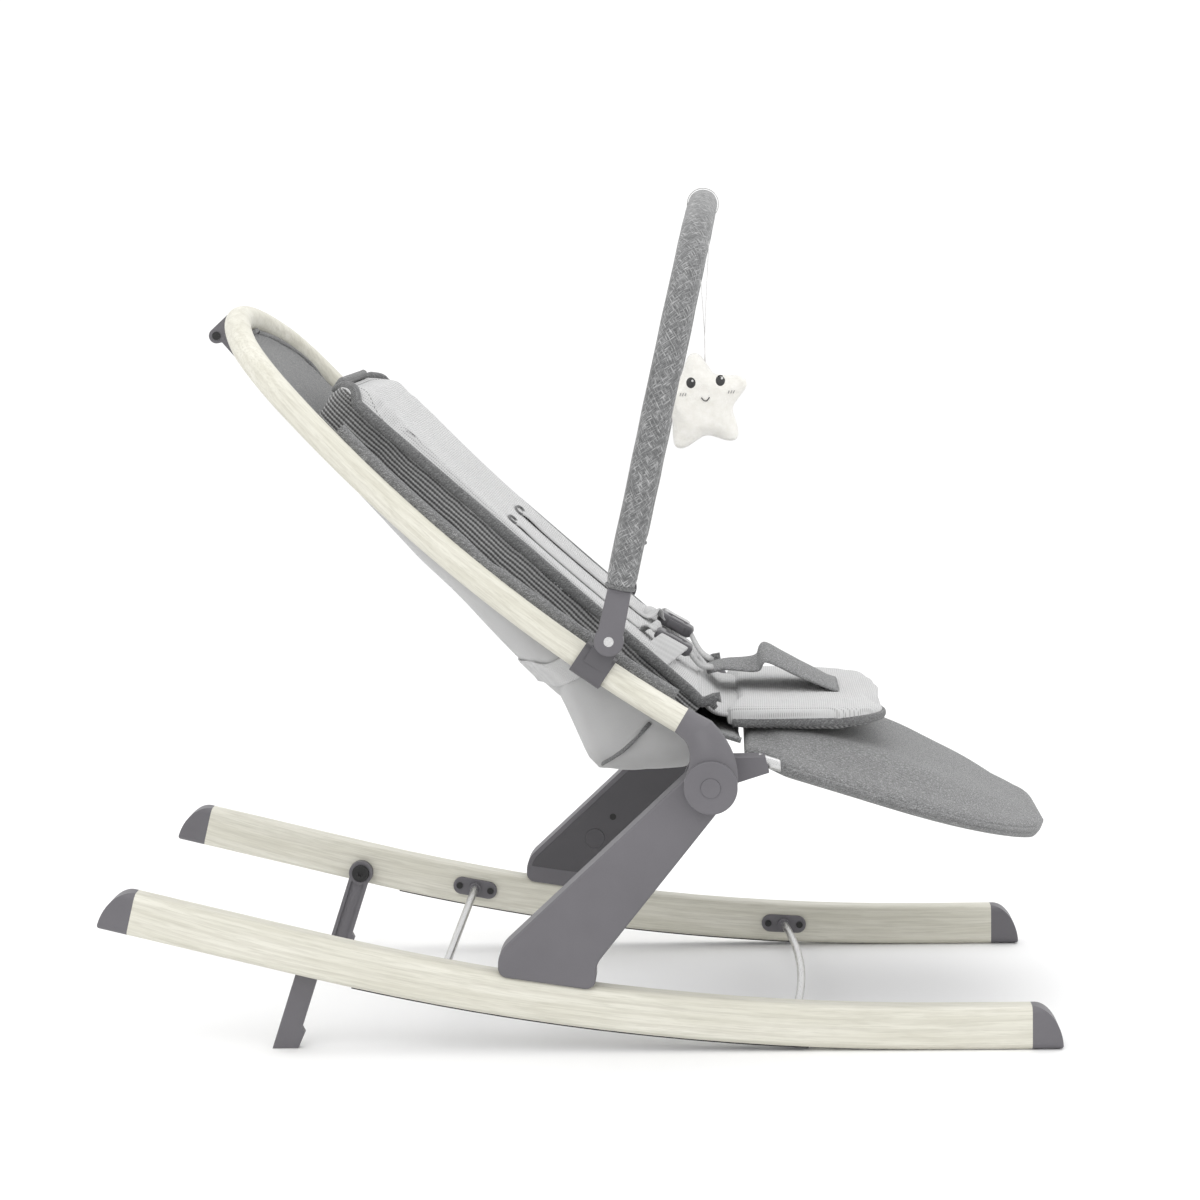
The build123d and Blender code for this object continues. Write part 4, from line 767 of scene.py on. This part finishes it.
split_sides(back_pad, back_up)
split_sides(seat_pad, Z_AXIS, -0.5)
finish_piece(back_pad, "seat", ["insert_back_pad"])
finish_piece(seat_pad, "seat", ["insert_seat_pad"])
finish_piece(leg_pad, "seat", ["leg_rest_cover"])
finish_piece(star, "toy", ["star_toy"])


# ---- Edge bindings and seams ---------------------------------------------------------
back_tree = surface(back_pad)
back_start = Vector((back_high.x, 0, back_low.z))
back_end = Vector((back_low.x, 0, back_high.z))


def on_back(t, y, lift=0.0):
    """A point on the insert's top: t from the hip end to the head end."""
    chord = back_start.lerp(back_end, t) + Vector((0, y, 0))
    hit = drop(back_tree, chord + back_up * 0.16, -back_up, chord)
    return hit + back_up * lift


def rounded_outline(start, front, half, corner, samples):
    """Outline of a panel as (along, across): round corners at the front, open at the start."""
    straight = front - corner
    side = half - corner
    run = [(lerp(start, straight, k / samples), -half) for k in range(samples)]
    for k in range(samples):
        angle = math.pi / 2 * k / samples
        run.append((straight + corner * math.sin(angle), -half + corner * (1 - math.cos(angle))))
    run += [(front, lerp(-side, side, k / samples)) for k in range(samples + 1)]
    for k in range(1, samples + 1):
        angle = math.pi / 2 * k / samples
        run.append((front - corner * (1 - math.cos(angle)), side + corner * math.sin(angle)))
    run += [(lerp(straight, start, k / samples), half) for k in range(1, samples + 1)]
    return run


def back_outline(inset, corner):
    """Outline of the insert's top in (t, y), open at the hip end."""
    length = (back_end - back_start).length
    run = rounded_outline(0.0, length - 13 * MM - inset, pad_half - inset, corner, 14)
    return [(s / length, y) for s, y in run]


def binding(name, points, half_width, half_height, side, key="binding"):
    path = smooth_path(points, 3)
    made = sweep(name, path, ring(half_width, half_height, 2.4, 14), side, [key])
    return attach(made, "seat")


back_rim = [on_back(max(0.03, t), y, 0.6 * MM) for t, y in back_outline(4 * MM, 52 * MM)]
hip_corner = Vector((back_high.x - 2 * MM, back_rim[0].y, back_low.z + 6 * MM))
back_rim = [hip_corner - back_up * 1 * MM, hip_corner + back_up * 9 * MM] + back_rim
back_rim += [Vector((p.x, -p.y, p.z)) for p in (back_rim[1], back_rim[0])]
binding("insert_back_binding", back_rim, 4.6 * MM, 3.4 * MM, back_up)
inner_rim = [on_back(max(0.03, t), y, 0.2 * MM) for t, y in back_outline(13 * MM, 46 * MM)]
stitches("insert_back_stitches", smooth_path(inner_rim, 2), back_up, "thread_grey", "seat")

seat_tree = surface(seat_pad)
seat_low, seat_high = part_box("insert_seat_pad")


def seat_outline(inset, corner):
    """Outline of the seat pad in (x, y), open toward the back rest."""
    return rounded_outline(seat_low.x + 4 * MM, seat_high.x - inset, seat_high.y - inset, corner, 10)


def on_seat(x, y):
    """The seat pad's low edge, met from outside."""
    place = Vector((x, y, seat_low.z + 5 * MM))
    inward = Vector((lerp(seat_low.x, seat_high.x, 0.45) - x, -y, 0)).normalized()
    return drop(seat_tree, place - inward * 0.06, inward, place)


fold_path = smooth_path([(0.094, 0, 0.285), (0.104, 0, 0.273), (0.115, 0, 0.2645), (0.132, 0, 0.2625)], 6)
fold = sweep("insert_fold", fold_path, ring(seat_high.y - 3 * MM, 6.5 * MM, 2.6, 48), Y_AXIS, ["mesh_seat"])
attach(fold, "seat")
seat_rim = [on_seat(x, y) for x, y in seat_outline(0.5 * MM, 54 * MM)]
binding("insert_seat_binding", seat_rim, 3.6 * MM, 2.6 * MM, Z_AXIS)

leg_tree_soft = surface(leg_pad)


def leg_rim_point(x, sign):
    """The pillow's seam, found from outside at a height between its top and bottom."""
    height = tube_height(min(x, tube_high.x)) + 1 * MM
    missed = Vector((x, sign * leg_half_width(x), height))
    hit = drop(leg_tree_soft, (x, sign * 0.3, height), (0, -sign, 0), missed)
    return hit + Vector((0, sign * 0.2 * MM, 0))


RIM_STEPS = 26
leg_rim = []
for k in range(RIM_STEPS + 1):
    share = ease(k / RIM_STEPS) * 0.35 + k / RIM_STEPS * 0.65
    leg_rim.append(leg_rim_point(lerp(leg_low.x + 34 * MM, leg_high.x - 10 * MM, share), -1))
tip_z = leg_rim[-1].z
front_edge = []
for k in range(-5, 6):
    y = k * 8 * MM
    hit = drop(leg_tree_soft, (0.6, y, tip_z - 2.5 * MM), (-1, 0, 0), Vector((leg_high.x, y, tip_z)))
    front_edge.append(hit)
far_rim = [Vector((p.x, -p.y, p.z)) for p in reversed(leg_rim)]
binding("leg_rest_piping", leg_rim + front_edge + far_rim, 1.9 * MM, 1.9 * MM, Z_AXIS, "melange_leg")


# ---- Seat cover: taut cloth in the loop -------------------------------------------------
cover_low, cover_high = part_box("seat_cover")


def seat_cover():
    """Cloth skin over the cover's CAD solid: its edges, its head end and its measures come with it."""
    rows, columns = 90, 40
    start = Vector((cover_high.x - 1 * MM, 0, cover_low.z))
    end = Vector((cover_low.x + 4 * MM, 0, cover_high.z))
    lines = []
    for i in range(rows + 1):
        base = start.lerp(end, i / rows)
        reach, y = 0.0, 0.0
        while y < 0.2 and drop(cover_tree, base + Vector((0, y, 0)) + back_up * 0.2, -back_up) is not None:
            reach = y
            y += 1.5 * MM
        if reach > 12 * MM:
            lines.append((base, reach))
    points, uvs = [], []
    for i, (base, reach) in enumerate(lines):
        for j in range(columns + 1):
            v = 2 * j / columns - 1
            spot = base + Vector((0, v * reach, 0))
            hit = drop(cover_tree, spot + back_up * 0.2, -back_up, spot)
            sag = 3.0 * MM * (1 - abs(v) ** 3)
            ripple = 0.7 * MM * noise.noise(Vector((i * 0.12, v * 9, 0)))
            points.append(hit - back_up * (sag + 0.4 * MM) + back_up * ripple)
            uvs.append((v * reach, i * 0.006))
    faces = []
    for i in range(len(lines) - 1):
        for j in range(columns):
            a = i * (columns + 1) + j
            faces.append((a, a + 1, a + columns + 2, a + columns + 1))
    obj = mesh_from("seat_cloth", points, faces, ["melange"], uvs)
    area = sum(f.area for f in obj.data.polygons)
    edges = [[points[i * (columns + 1) + j] for i in range(len(lines))] for j in (0, columns)]
    head = [points[(len(lines) - 1) * (columns + 1) + j] for j in range(columns + 1)]
    widest = max(reach for base, reach in lines) * 2
    long = sum((points[(i + 1) * (columns + 1) + 20] - points[i * (columns + 1) + 20]).length
               for i in range(len(lines) - 1))
    modifier = obj.modifiers.new("cloth", "SOLIDIFY")
    modifier.thickness = 1.6 * MM
    modifier.offset = -1
    bake(obj)
    return obj, area, widest, long, edges, head


cover, cover_area, cover_width, cover_length, cover_edges, cover_head = seat_cover()
finish_piece(cover, "seat", ["seat_cover"])
hem = cover_edges[0] + cover_head[1:-1] + cover_edges[1][::-1]
hem_piece = binding("seat_cloth_hem", hem[::3] + [hem[-1]], 3.4 * MM, 2.4 * MM, Y_AXIS, "melange")


for edge, label in zip(cover_edges, ("right", "left")):
    inward = 1 if label == "right" else -1
    welt = [p + back_up * 11 * MM + Y_AXIS * inward * 2 * MM for p in edge if -0.20 < p.x < 0.075]
    path = smooth_path(welt[::4] + [welt[-1]], 3)
    made = sweep("seat_cloth_welt_" + label, path, ring(4.5 * MM, 8.0 * MM, 2.4, 14), Y_AXIS, ["melange"])
    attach(made, "seat")


# ---- Bag under the seat -------------------------------------------------------------------
bag_low, bag_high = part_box("back_sling")
bag_tree = surface(frame["nodes"]["back_sling"])


def bag():
    """Lofted shell: U-shaped sections along X between the rails' line and the bag's keel."""
    stations, around = 74, 64
    half = bag_high.y - 1 * MM
    points, uvs = [], []
    for i in range(stations + 1):
        t = i / stations
        x = lerp(bag_low.x + 6 * MM, bag_high.x - 26 * MM, t)
        keel_hit = drop(bag_tree, (x, 0, -0.1), (0, 0, 1))
        keel = keel_hit.z if keel_hit else bag_low.z
        rim_hit = drop(bag_tree, (x, half - 1 * MM, 0.9), (0, 0, -1))
        rim = rim_hit.z if rim_hit else keel + 10 * MM
        rim = max(rim, keel + 4 * MM)
        depth = rim - keel
        corner = min(depth * 0.95, 34 * MM)
        side = depth - corner
        flat = half - corner
        arc = math.pi / 2 * corner
        total = 2 * (side + arc + flat)
        for k in range(around + 1):
            run = total * k / around
            sign = -1 if run <= total / 2 else 1
            run = min(run, total - run)
            if run < side:
                y, z, out = half, rim - run, (1, 0)
            elif run < side + arc:
                angle = (run - side) / max(corner, 1e-6)
                y = half - corner * (1 - math.cos(angle))
                z = rim - side - corner * math.sin(angle)
                out = (math.cos(angle), -math.sin(angle))
            else:
                y, z, out = half - corner - (run - side - arc), keel, (0, -1)
            loose = ease(run / (30 * MM)) * ease(t * 6) * ease((1 - t) * 9)
            fold = 1.6 * MM * noise.noise(Vector((x * 22 + z * 26, y * 5, 1.3)))
            fold += 1.0 * MM * noise.noise(Vector((x * 60 + z * 30, y * 12, 5.1)))
            pull = -2.6 * MM * abs(math.sin(9 * (t + 0.25 * (rim - z) / max(depth, 1e-6)))) ** 3
            move = loose * (fold + pull)
            points.append(Vector((x, sign * (y + out[0] * move), z + out[1] * move)))
            uvs.append((run, x))
    faces = []
    for i in range(stations):
        for k in range(around):
            a = i * (around + 1) + k
            faces.append((a, a + around + 1, a + around + 2, a + 1))
    obj = mesh_from("underseat_cloth", points, faces, ["pale"], uvs)
    area = sum(f.area for f in obj.data.polygons)
    widest = max(
        sum((points[i * (around + 1) + k + 1] - points[i * (around + 1) + k]).length for k in range(around))
        for i in range(stations + 1)
    )
    keel_line = [points[i * (around + 1) + around // 2] for i in range(stations + 1)]
    long = sum((b - a).length for a, b in zip(keel_line, keel_line[1:]))
    modifier = obj.modifiers.new("cloth", "SOLIDIFY")
    modifier.thickness = 1.3 * MM
    modifier.offset = 0
    bake(obj)
    return obj, area, widest, long


under, under_area, under_width, under_length = bag()
finish_piece(under, "seat", ["back_sling"])


bag_soft = surface(under)


def on_bag(x, z, sign, lift):
    hit = drop(bag_soft, (x, sign * 0.3, z), (0, -sign, 0), Vector((x, sign * bag_high.y, z)))
    return hit + Vector((0, sign * lift, 0))


for sign, label in ((1, "left"), (-1, "right")):
    line = [on_bag(x * MM, z * MM, sign, 0.8 * MM) for x, z in ((60, 262), (47, 248), (33, 236), (20, 227))]
    binding("underseat_binding_" + label, line, 3.2 * MM, 1.2 * MM, Vector((1, 0, 1)), "binding")
    band = [on_bag(x * MM, z * MM, sign, 1.4 * MM) for x, z in ((12, 318), (-6, 308), (-20, 302), (-32, 304))]
    wrap = [drop(bag_soft, (x * MM, sign * y * MM, 0.1), (0, 0, 1), Vector((x * MM, sign * y * MM, 0.3)))
            - Z_AXIS * 1.6 * MM for x, y in ((-40, 128), (-42, 96), (-43, 60))]
    path = smooth_path(band + wrap, 6)
    made = sweep("underseat_band_" + label, path, ring(11 * MM, 1.0 * MM, 4.0, 14),
                 Vector((0.7, 0, -0.7)), ["webbing"])
    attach(made, "seat")


# ---- Toy bar sleeve --------------------------------------------------------------------------
bar_pivot = Vector(joint["toy_bar_swing"]["pos_m"])
sleeve_low, sleeve_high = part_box("toy_bar_sleeve")
SLEEVE_RADIUS = 12.5 * MM
bar_half = sleeve_high.y - SLEEVE_RADIUS
toy_pivot = Vector(joint["toy_swing"]["pos_m"])
bar_top = Vector((toy_pivot.x, 0, sleeve_high.z - SLEEVE_RADIUS))
bar_up = (bar_top - Vector((bar_pivot.x, 0, bar_pivot.z))).normalized()
bar_reach = (bar_top - Vector((bar_pivot.x, 0, bar_pivot.z))).length
TOP_RADIUS = 300 * MM
TOP_ANGLE = math.radians(22)
SLEEVE_START = 43 * MM


def bar_route(start, step=5 * MM):
    """Centreline of the toy bar: straight legs, round corners and a shallow top."""
    top_half = TOP_RADIUS * math.sin(TOP_ANGLE)
    corner = (bar_half - top_half) / (1 - math.sin(TOP_ANGLE))
    leg_end = bar_reach - TOP_RADIUS * (1 - math.cos(TOP_ANGLE)) - corner * math.cos(TOP_ANGLE)
    run = []
    for k in range(int((leg_end - start) / step)):
        run.append((bar_half, start + k * step))
    for k in range(24):
        angle = lerp(math.pi / 2, TOP_ANGLE, k / 24)
        outward = top_half + corner * (math.sin(angle) - math.sin(TOP_ANGLE))
        run.append((outward, leg_end + corner * math.cos(angle)))
    for k in range(13):
        angle = lerp(TOP_ANGLE, 0, k / 12)
        run.append((TOP_RADIUS * math.sin(angle), bar_reach - TOP_RADIUS * (1 - math.cos(angle))))
    full = run + [(-y, up) for y, up in reversed(run[:-1])]
    return [Vector((bar_pivot.x, y, bar_pivot.z)) + bar_up * up for y, up in full]


def toy_sleeve():
    """Fabric tube around the bar, with a sewn seam along it and both ends tucked in."""
    path = bar_route(SLEEVE_START)
    normal = bar_up.cross(Y_AXIS).normalized()
    size, run = 28, 0.0
    points, uvs, faces = [], [], []
    for i, p in enumerate(path):
        tangent = (path[min(i + 1, len(path) - 1)] - path[max(i - 1, 0)]).normalized()
        across = tangent.cross(normal).normalized()
        if i:
            run += (p - path[i - 1]).length
        end = min(i, len(path) - 1 - i)
        tuck = 1.0 - 0.12 * max(0, 2 - end) / 2
        for k in range(size + 1):
            angle = 2 * math.pi * k / size
            seam = -0.7 * MM * math.exp(-((min(angle, 2 * math.pi - angle)) / 0.16) ** 2)
            soft = 0.35 * MM * noise.noise(Vector((run * 40, math.cos(angle) * 1.5, math.sin(angle) * 1.5)))
            soft += 0.25 * MM * math.sin(angle * 6 + run * 30) * math.exp(-end * 0.25)
            radius = (SLEEVE_RADIUS - 0.3 * MM + seam + soft) * tuck
            points.append(p + (across * math.cos(angle) + normal * math.sin(angle)) * radius)
            uvs.append((SLEEVE_RADIUS * angle, run))
    ring_size = size + 1
    for i in range(len(path) - 1):
        for k in range(size):
            a = i * ring_size + k
            faces.append((a, a + 1, a + ring_size + 1, a + ring_size))
    faces.append(tuple(range(size))[::-1])
    faces.append(tuple((len(path) - 1) * ring_size + k for k in range(size)))
    return mesh_from("toy_bar_fabric", points, faces, ["hatch"], uvs)


finish_piece(toy_sleeve(), "toy_bar", ["toy_bar_sleeve"])
for sign, label in ((1, "left"), (-1, "right")):
    base = Vector((bar_pivot.x, sign * bar_half, bar_pivot.z)) + bar_up * (SLEEVE_START + 1.5 * MM)
    normal = bar_up.cross(Y_AXIS).normalized()
    circle = [base + (Y_AXIS * math.cos(a) + normal * math.sin(a)) * (SLEEVE_RADIUS - 0.9 * MM)
              for a in [2 * math.pi * k / 28 for k in range(28)]]
    section = ring(1.5 * MM, 1.0 * MM, 2.2, 10)
    cuff = sweep("sleeve_cuff_" + label, circle, section, bar_up, ["binding"], closed=True)
    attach(cuff, "toy_bar")


# ---- Toy: ribbon and the star's face --------------------------------------------------------------
def toy_band():
    """Ribbon looped over the bar, its two ends together down to the star."""
    star_tree = surface(star)
    loop_radius = SLEEVE_RADIUS + 0.9 * MM
    star_top = drop(star_tree, (toy_pivot.x, 0, bar_top.z - 0.05), (0, 0, -1), bar_top - Z_AXIS * 0.11)
    path = [star_top + Vector((0.4 * MM, 0, -4 * MM)), star_top + Vector((0.5 * MM, 0, 30 * MM))]
    for k in range(15):
        angle = lerp(-62, 242, k / 14) * math.pi / 180
        path.append(bar_top + Vector((math.cos(angle) * loop_radius, 0, math.sin(angle) * loop_radius)))
    path += [star_top + Vector((-0.5 * MM, 0, 30 * MM)), star_top + Vector((-0.4 * MM, 0, -4 * MM))]
    section = ring(5 * MM, 0.35 * MM, 3.5, 12)
    made = sweep("toy_ribbon_band", smooth_path(path, 4), section, Y_AXIS, ["ribbon"])
    return made, star_tree


ribbon, star_tree = toy_band()
finish_piece(ribbon, "toy", ["toy_ribbon"])
star_low, star_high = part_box("star_toy")
star_centre = (star_low + star_high) / 2


def on_star(dx, dz, lift=0.0):
    start = Vector((star_centre.x + dx * MM, -0.1, star_centre.z + dz * MM))
    hit = drop(star_tree, start, (0, 1, 0), Vector((start.x, star_low.y, start.z)))
    return hit - Y_AXIS * lift


def face_oval(name, dx, dz, half_x, half_z, height, key):
    """A low dome laid on the star: the sewn eyes, and the pale painted highlight on each eye."""
    points, faces, rings, spokes = [on_star(dx, dz, height)], [], 5, 20
    for r in range(1, rings + 1):
        share = r / rings
        for k in range(spokes):
            angle = 2 * math.pi * k / spokes
            spot = on_star(dx + half_x * share * math.cos(angle), dz + half_z * share * math.sin(angle),
                           height * math.sqrt(max(0.0, 1 - share * share)) + 0.05 * MM)
            points.append(spot)
    for k in range(spokes):
        faces.append((0, 1 + k, 1 + (k + 1) % spokes))
        for r in range(rings - 1):
            a = 1 + r * spokes + k
            b = 1 + r * spokes + (k + 1) % spokes
            faces.append((a, a + spokes, b + spokes, b))
    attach(mesh_from(name, points, faces, [key]), "toy")


def face_line(name, spots, half, key):
    path = smooth_path([on_star(dx, dz, 0.35 * MM) for dx, dz in spots], 5)
    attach(sweep(name, path, ring(half, half * 0.8, 2.0, 8), Y_AXIS, [key]), "toy")


for label, dx, dz in (("rear", -6.5, 16.0), ("front", 18.5, 17.5)):
    face_oval("star_eye_" + label, dx, dz, 4.0, 4.6, 1.1 * MM, "thread_dark")
    # pale dome on each eye: a painted highlight standing for the eye's reflection
    face_oval("star_eye_glint_" + label, dx + 1.3, dz + 1.7, 1.1, 1.2, 1.8 * MM, "painted_highlight_thread")
    for k in range(3):
        away = dx + (-9.5 if label == "rear" else 6.5) + k * 2.2
        face_line("star_cheek_%s_%d" % (label, k), [(away, dz - 11.0), (away + 0.9, dz - 8.6)], 0.45 * MM,
                  "thread_grey")
face_line("star_mouth", [(2.2, 3.4), (4.4, 0.8), (7.0, 0.9), (9.2, 3.6)], 0.6 * MM, "thread_dark")


# ---- Harness: straps, slots, buckles and the crotch flap ------------------------------------------------
WEBBING_HALF_WIDTH = 12.5 * MM
WEBBING_HALF_THICKNESS = 1.1 * MM
STRAP_Y = 46 * MM               # of the shoulder straps, from the centre plane
STRAP_TOP = 0.52                # share of the insert's length, from the hip, at the slots
STRAP_FOOT = 0.20               # where the straps leave the insert for the buckles
SLOT_HALF_LENGTH = 17 * MM
SLOT_HALF_SHARE = 0.011         # half the slot's opening, as a share of the insert's length
FLAP_HALF_WIDTH = 42 * MM


def strap(name, points, side, node):
    section = ring(WEBBING_HALF_WIDTH, WEBBING_HALF_THICKNESS, 5.0, 14)
    made = sweep(name, smooth_path(points, 6), section, side, ["webbing"])
    finish_piece(made, "seat", [node])


def buckle(label):
    """Side-release buckle: a framed body with a waist, two side prongs and a raised tongue."""
    low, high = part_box("harness_buckle_" + label)
    centre = (low + high) / 2
    slope = math.radians(30)
    along = Vector((math.cos(slope), 0, -math.sin(slope)))
    up = Vector((math.sin(slope), 0, math.cos(slope)))
    half_long, half_wide, half_high = 17 * MM, 14.5 * MM, 5.2 * MM
    spots = 48
    levels = ((0.86, -1.0), (1.0, -0.6), (1.0, 0.55), (0.93, 0.9), (0.62, 1.0), (0.56, 0.72))
    outline = []
    for k in range(spots):
        angle = 2 * math.pi * k / spots
        c, s = math.cos(angle), math.sin(angle)
        a = math.copysign(abs(c) ** 0.5, c) * half_long
        waist = 1 - 0.16 * math.exp(-(a / (5 * MM)) ** 2)
        outline.append((a, math.copysign(abs(s) ** 0.5, s) * half_wide * waist))
    points, faces = [], []
    for shrink, height in levels:
        for a, b in outline:
            points.append(centre + along * a * shrink + Y_AXIS * b * shrink + up * half_high * height)
    last = len(levels) - 1
    for r in range(last):
        for k in range(spots):
            j = (k + 1) % spots
            faces.append((r * spots + k, r * spots + j, (r + 1) * spots + j, (r + 1) * spots + k))
    faces.append(tuple(range(spots))[::-1])
    faces.append(tuple(range(last * spots, (last + 1) * spots)))
    body = mesh_from("buckle_body_" + label, points, faces, ["buckle"])
    finish_piece(body, "seat", ["harness_buckle_" + label])
    for end in (-1, 1):
        prong = smooth_path([
            centre + along * 9 * MM + Y_AXIS * end * 14.0 * MM,
            centre + along * 1 * MM + Y_AXIS * end * 13.6 * MM,
            centre - along * 8 * MM + Y_AXIS * end * 14.4 * MM,
        ], 5)
        made = sweep("buckle_prong_%s_%s" % (label, "a" if end < 0 else "b"), prong,
                     ring(1.1 * MM, 3.2 * MM, 3.0, 12), Y_AXIS, ["buckle"])
        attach(made, "seat")
    tongue = smooth_path([centre + along * end * 6 * MM + up * 3.9 * MM for end in (-1, 1)], 4)
    made = sweep("buckle_tongue_" + label, tongue, ring(5 * MM, 0.9 * MM, 4.0, 14), Y_AXIS, ["buckle"])
    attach(made, "seat")
    return centre, along, up


for sign, label in ((1, "left"), (-1, "right")):
    centre, along, up = buckle(label)
    y = sign * STRAP_Y
    run = [on_back(lerp(STRAP_TOP, STRAP_FOOT, k / 6), y, 1.6 * MM) for k in range(7)]
    run = [run[0] - back_up * 9 * MM + back_along * 3 * MM] + run
    run += [centre - along * 22 * MM + up * 1 * MM - Y_AXIS * sign * 8 * MM, centre - along * 12 * MM]
    strap("shoulder_webbing_" + label, run, Y_AXIS, "shoulder_strap_" + label)
    rim = []
    for k in range(28):
        angle = 2 * math.pi * k / 28
        rim.append(on_back(STRAP_TOP + 0.012 + SLOT_HALF_SHARE * math.sin(angle),
                           y + SLOT_HALF_LENGTH * math.cos(angle), 0.5 * MM))
    section = ring(1.5 * MM, 0.9 * MM, 2.2, 8)
    made = sweep("strap_slot_rim_" + label, rim, section, back_up, ["binding"], closed=True)
    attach(made, "seat")
    low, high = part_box("waist_strap_" + label)
    middle = (low + high) / 2
    outer = Vector((middle.x - 8 * MM, sign * 118 * MM, middle.z + 2 * MM))
    outer_hit = drop(back_tree, outer + back_up * 0.1, -back_up, outer)
    run = [
        outer_hit + back_up * 1.2 * MM + Y_AXIS * sign * 5 * MM,
        outer_hit + back_up * 3 * MM - Y_AXIS * sign * 6 * MM,
        Vector((middle.x, sign * 92 * MM, middle.z + 3 * MM)),
        centre + Y_AXIS * sign * 12 * MM,
    ]
    strap("waist_webbing_" + label, run, along, "waist_strap_" + label)
    flap_low, flap_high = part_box("crotch_flap")
    end = Vector((flap_low.x + 6 * MM, sign * 24 * MM, lerp(flap_low.z, flap_high.z, 0.58)))
    for shift in (-5, 5):
        begin = centre + along * 14 * MM + Y_AXIS * shift * MM
        loop = smooth_path([begin, begin.lerp(end, 0.5) - Z_AXIS * 5 * MM + Y_AXIS * shift * 0.6 * MM,
                            end + Y_AXIS * shift * MM], 6)
        made = sweep("flap_loop_%s_%s" % (label, "a" if shift < 0 else "b"), loop,
                     ring(2.6 * MM, 1.9 * MM, 2.2, 10), Y_AXIS, ["webbing"])
        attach(made, "seat")


def crotch_flap():
    """A strip from the seat pad up to the buckles, bent over at its highest point."""
    low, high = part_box("crotch_flap")

    def spot(x_share, z_share):
        return Vector((lerp(low.x, high.x, x_share), 0, lerp(low.z, high.z, z_share)))

    path = smooth_path([
        spot(0.985, 0.04), spot(0.84, 0.30), spot(0.64, 0.66), spot(0.47, 0.955), spot(0.43, 0.93),
        spot(0.40, 0.72), spot(0.30, 0.62), spot(0.15, 0.58), spot(0.02, 0.46),
    ], 7)
    around = 40
    made = sweep("crotch_flap_cloth", path, ring(FLAP_HALF_WIDTH, 2.4 * MM, 3.2, around), Y_AXIS, ["melange"],
                 width=lambda t: 1.0 - 0.30 * ease((t - 0.45) / 0.55))
    count = len(path)
    for index, vertex in enumerate(made.data.vertices):
        t = (index // around) / (count - 1)
        fall = (abs(vertex.co.y) / FLAP_HALF_WIDTH) ** 2
        vertex.co.z -= fall * 9 * MM * math.sin(math.pi * min(1.0, t * 1.05))
        vertex.co.z += 0.8 * MM * noise.noise(vertex.co * 60)
    made.data.update()
    finish_piece(made, "seat", ["crotch_flap"])
    return made, path


flap, flap_path = crotch_flap()


# ---- Stage, light and camera ----------------------------------------------------------------------
def floor():
    half = 12.0
    corners = [(-half, -half, 0), (half, -half, 0), (half, half, 0), (-half, half, 0)]
    mesh = bpy.data.meshes.new("studio_floor")
    mesh.from_pydata(corners, [], [(0, 1, 2, 3)])
    obj = bpy.data.objects.new("studio_floor", mesh)
    obj.location.z = cad_bounds[0][2] - 0.2 * MM
    mesh.materials.append(paper_floor())
    scene.collection.objects.link(obj)


def area_light(name, place, target, size, power):
    data = bpy.data.lights.new(name, "AREA")
    data.shape = "DISK"
    data.size = size
    data.energy = power
    obj = bpy.data.objects.new(name, data)
    obj.location = place
    obj.rotation_euler = (Vector(target) - Vector(place)).to_track_quat("-Z", "Y").to_euler()
    scene.collection.objects.link(obj)


floor()
area_light("key", (-0.9, -2.2, 2.6), (0, 0, 0.25), 2.4, 20)
area_light("fill", (2.4, -1.6, 1.6), (0, 0, 0.3), 2.2, 7)
area_light("top", (0.2, 0.6, 3.2), (0, 0, 0.2), 3.0, 22)
world = bpy.data.worlds.new("studio")
world.use_nodes = True
world.node_tree.nodes["Background"].inputs[0].default_value = (1.0, 1.0, 1.0, 1)
world.node_tree.nodes["Background"].inputs[1].default_value = 1.1
scene.world = world
scene.view_settings.view_transform = "Standard"

CAMERA_LENS = 92.03                             # mm, on a sensor 36 mm wide
CAMERA_PLACE = (0.12036, -2.62558, 0.64703)     # solved from the photo's two rockers
CAMERA_TURN = (83.475, 1.019, 2.189)            # degrees about X, Y and Z
camera_data = bpy.data.cameras.new("camera")
camera_data.sensor_width = 36
camera_data.lens = CAMERA_LENS
camera = bpy.data.objects.new("camera", camera_data)
scene.collection.objects.link(camera)
camera.location = CAMERA_PLACE
camera.rotation_euler = [math.radians(angle) for angle in CAMERA_TURN]
scene.camera = camera
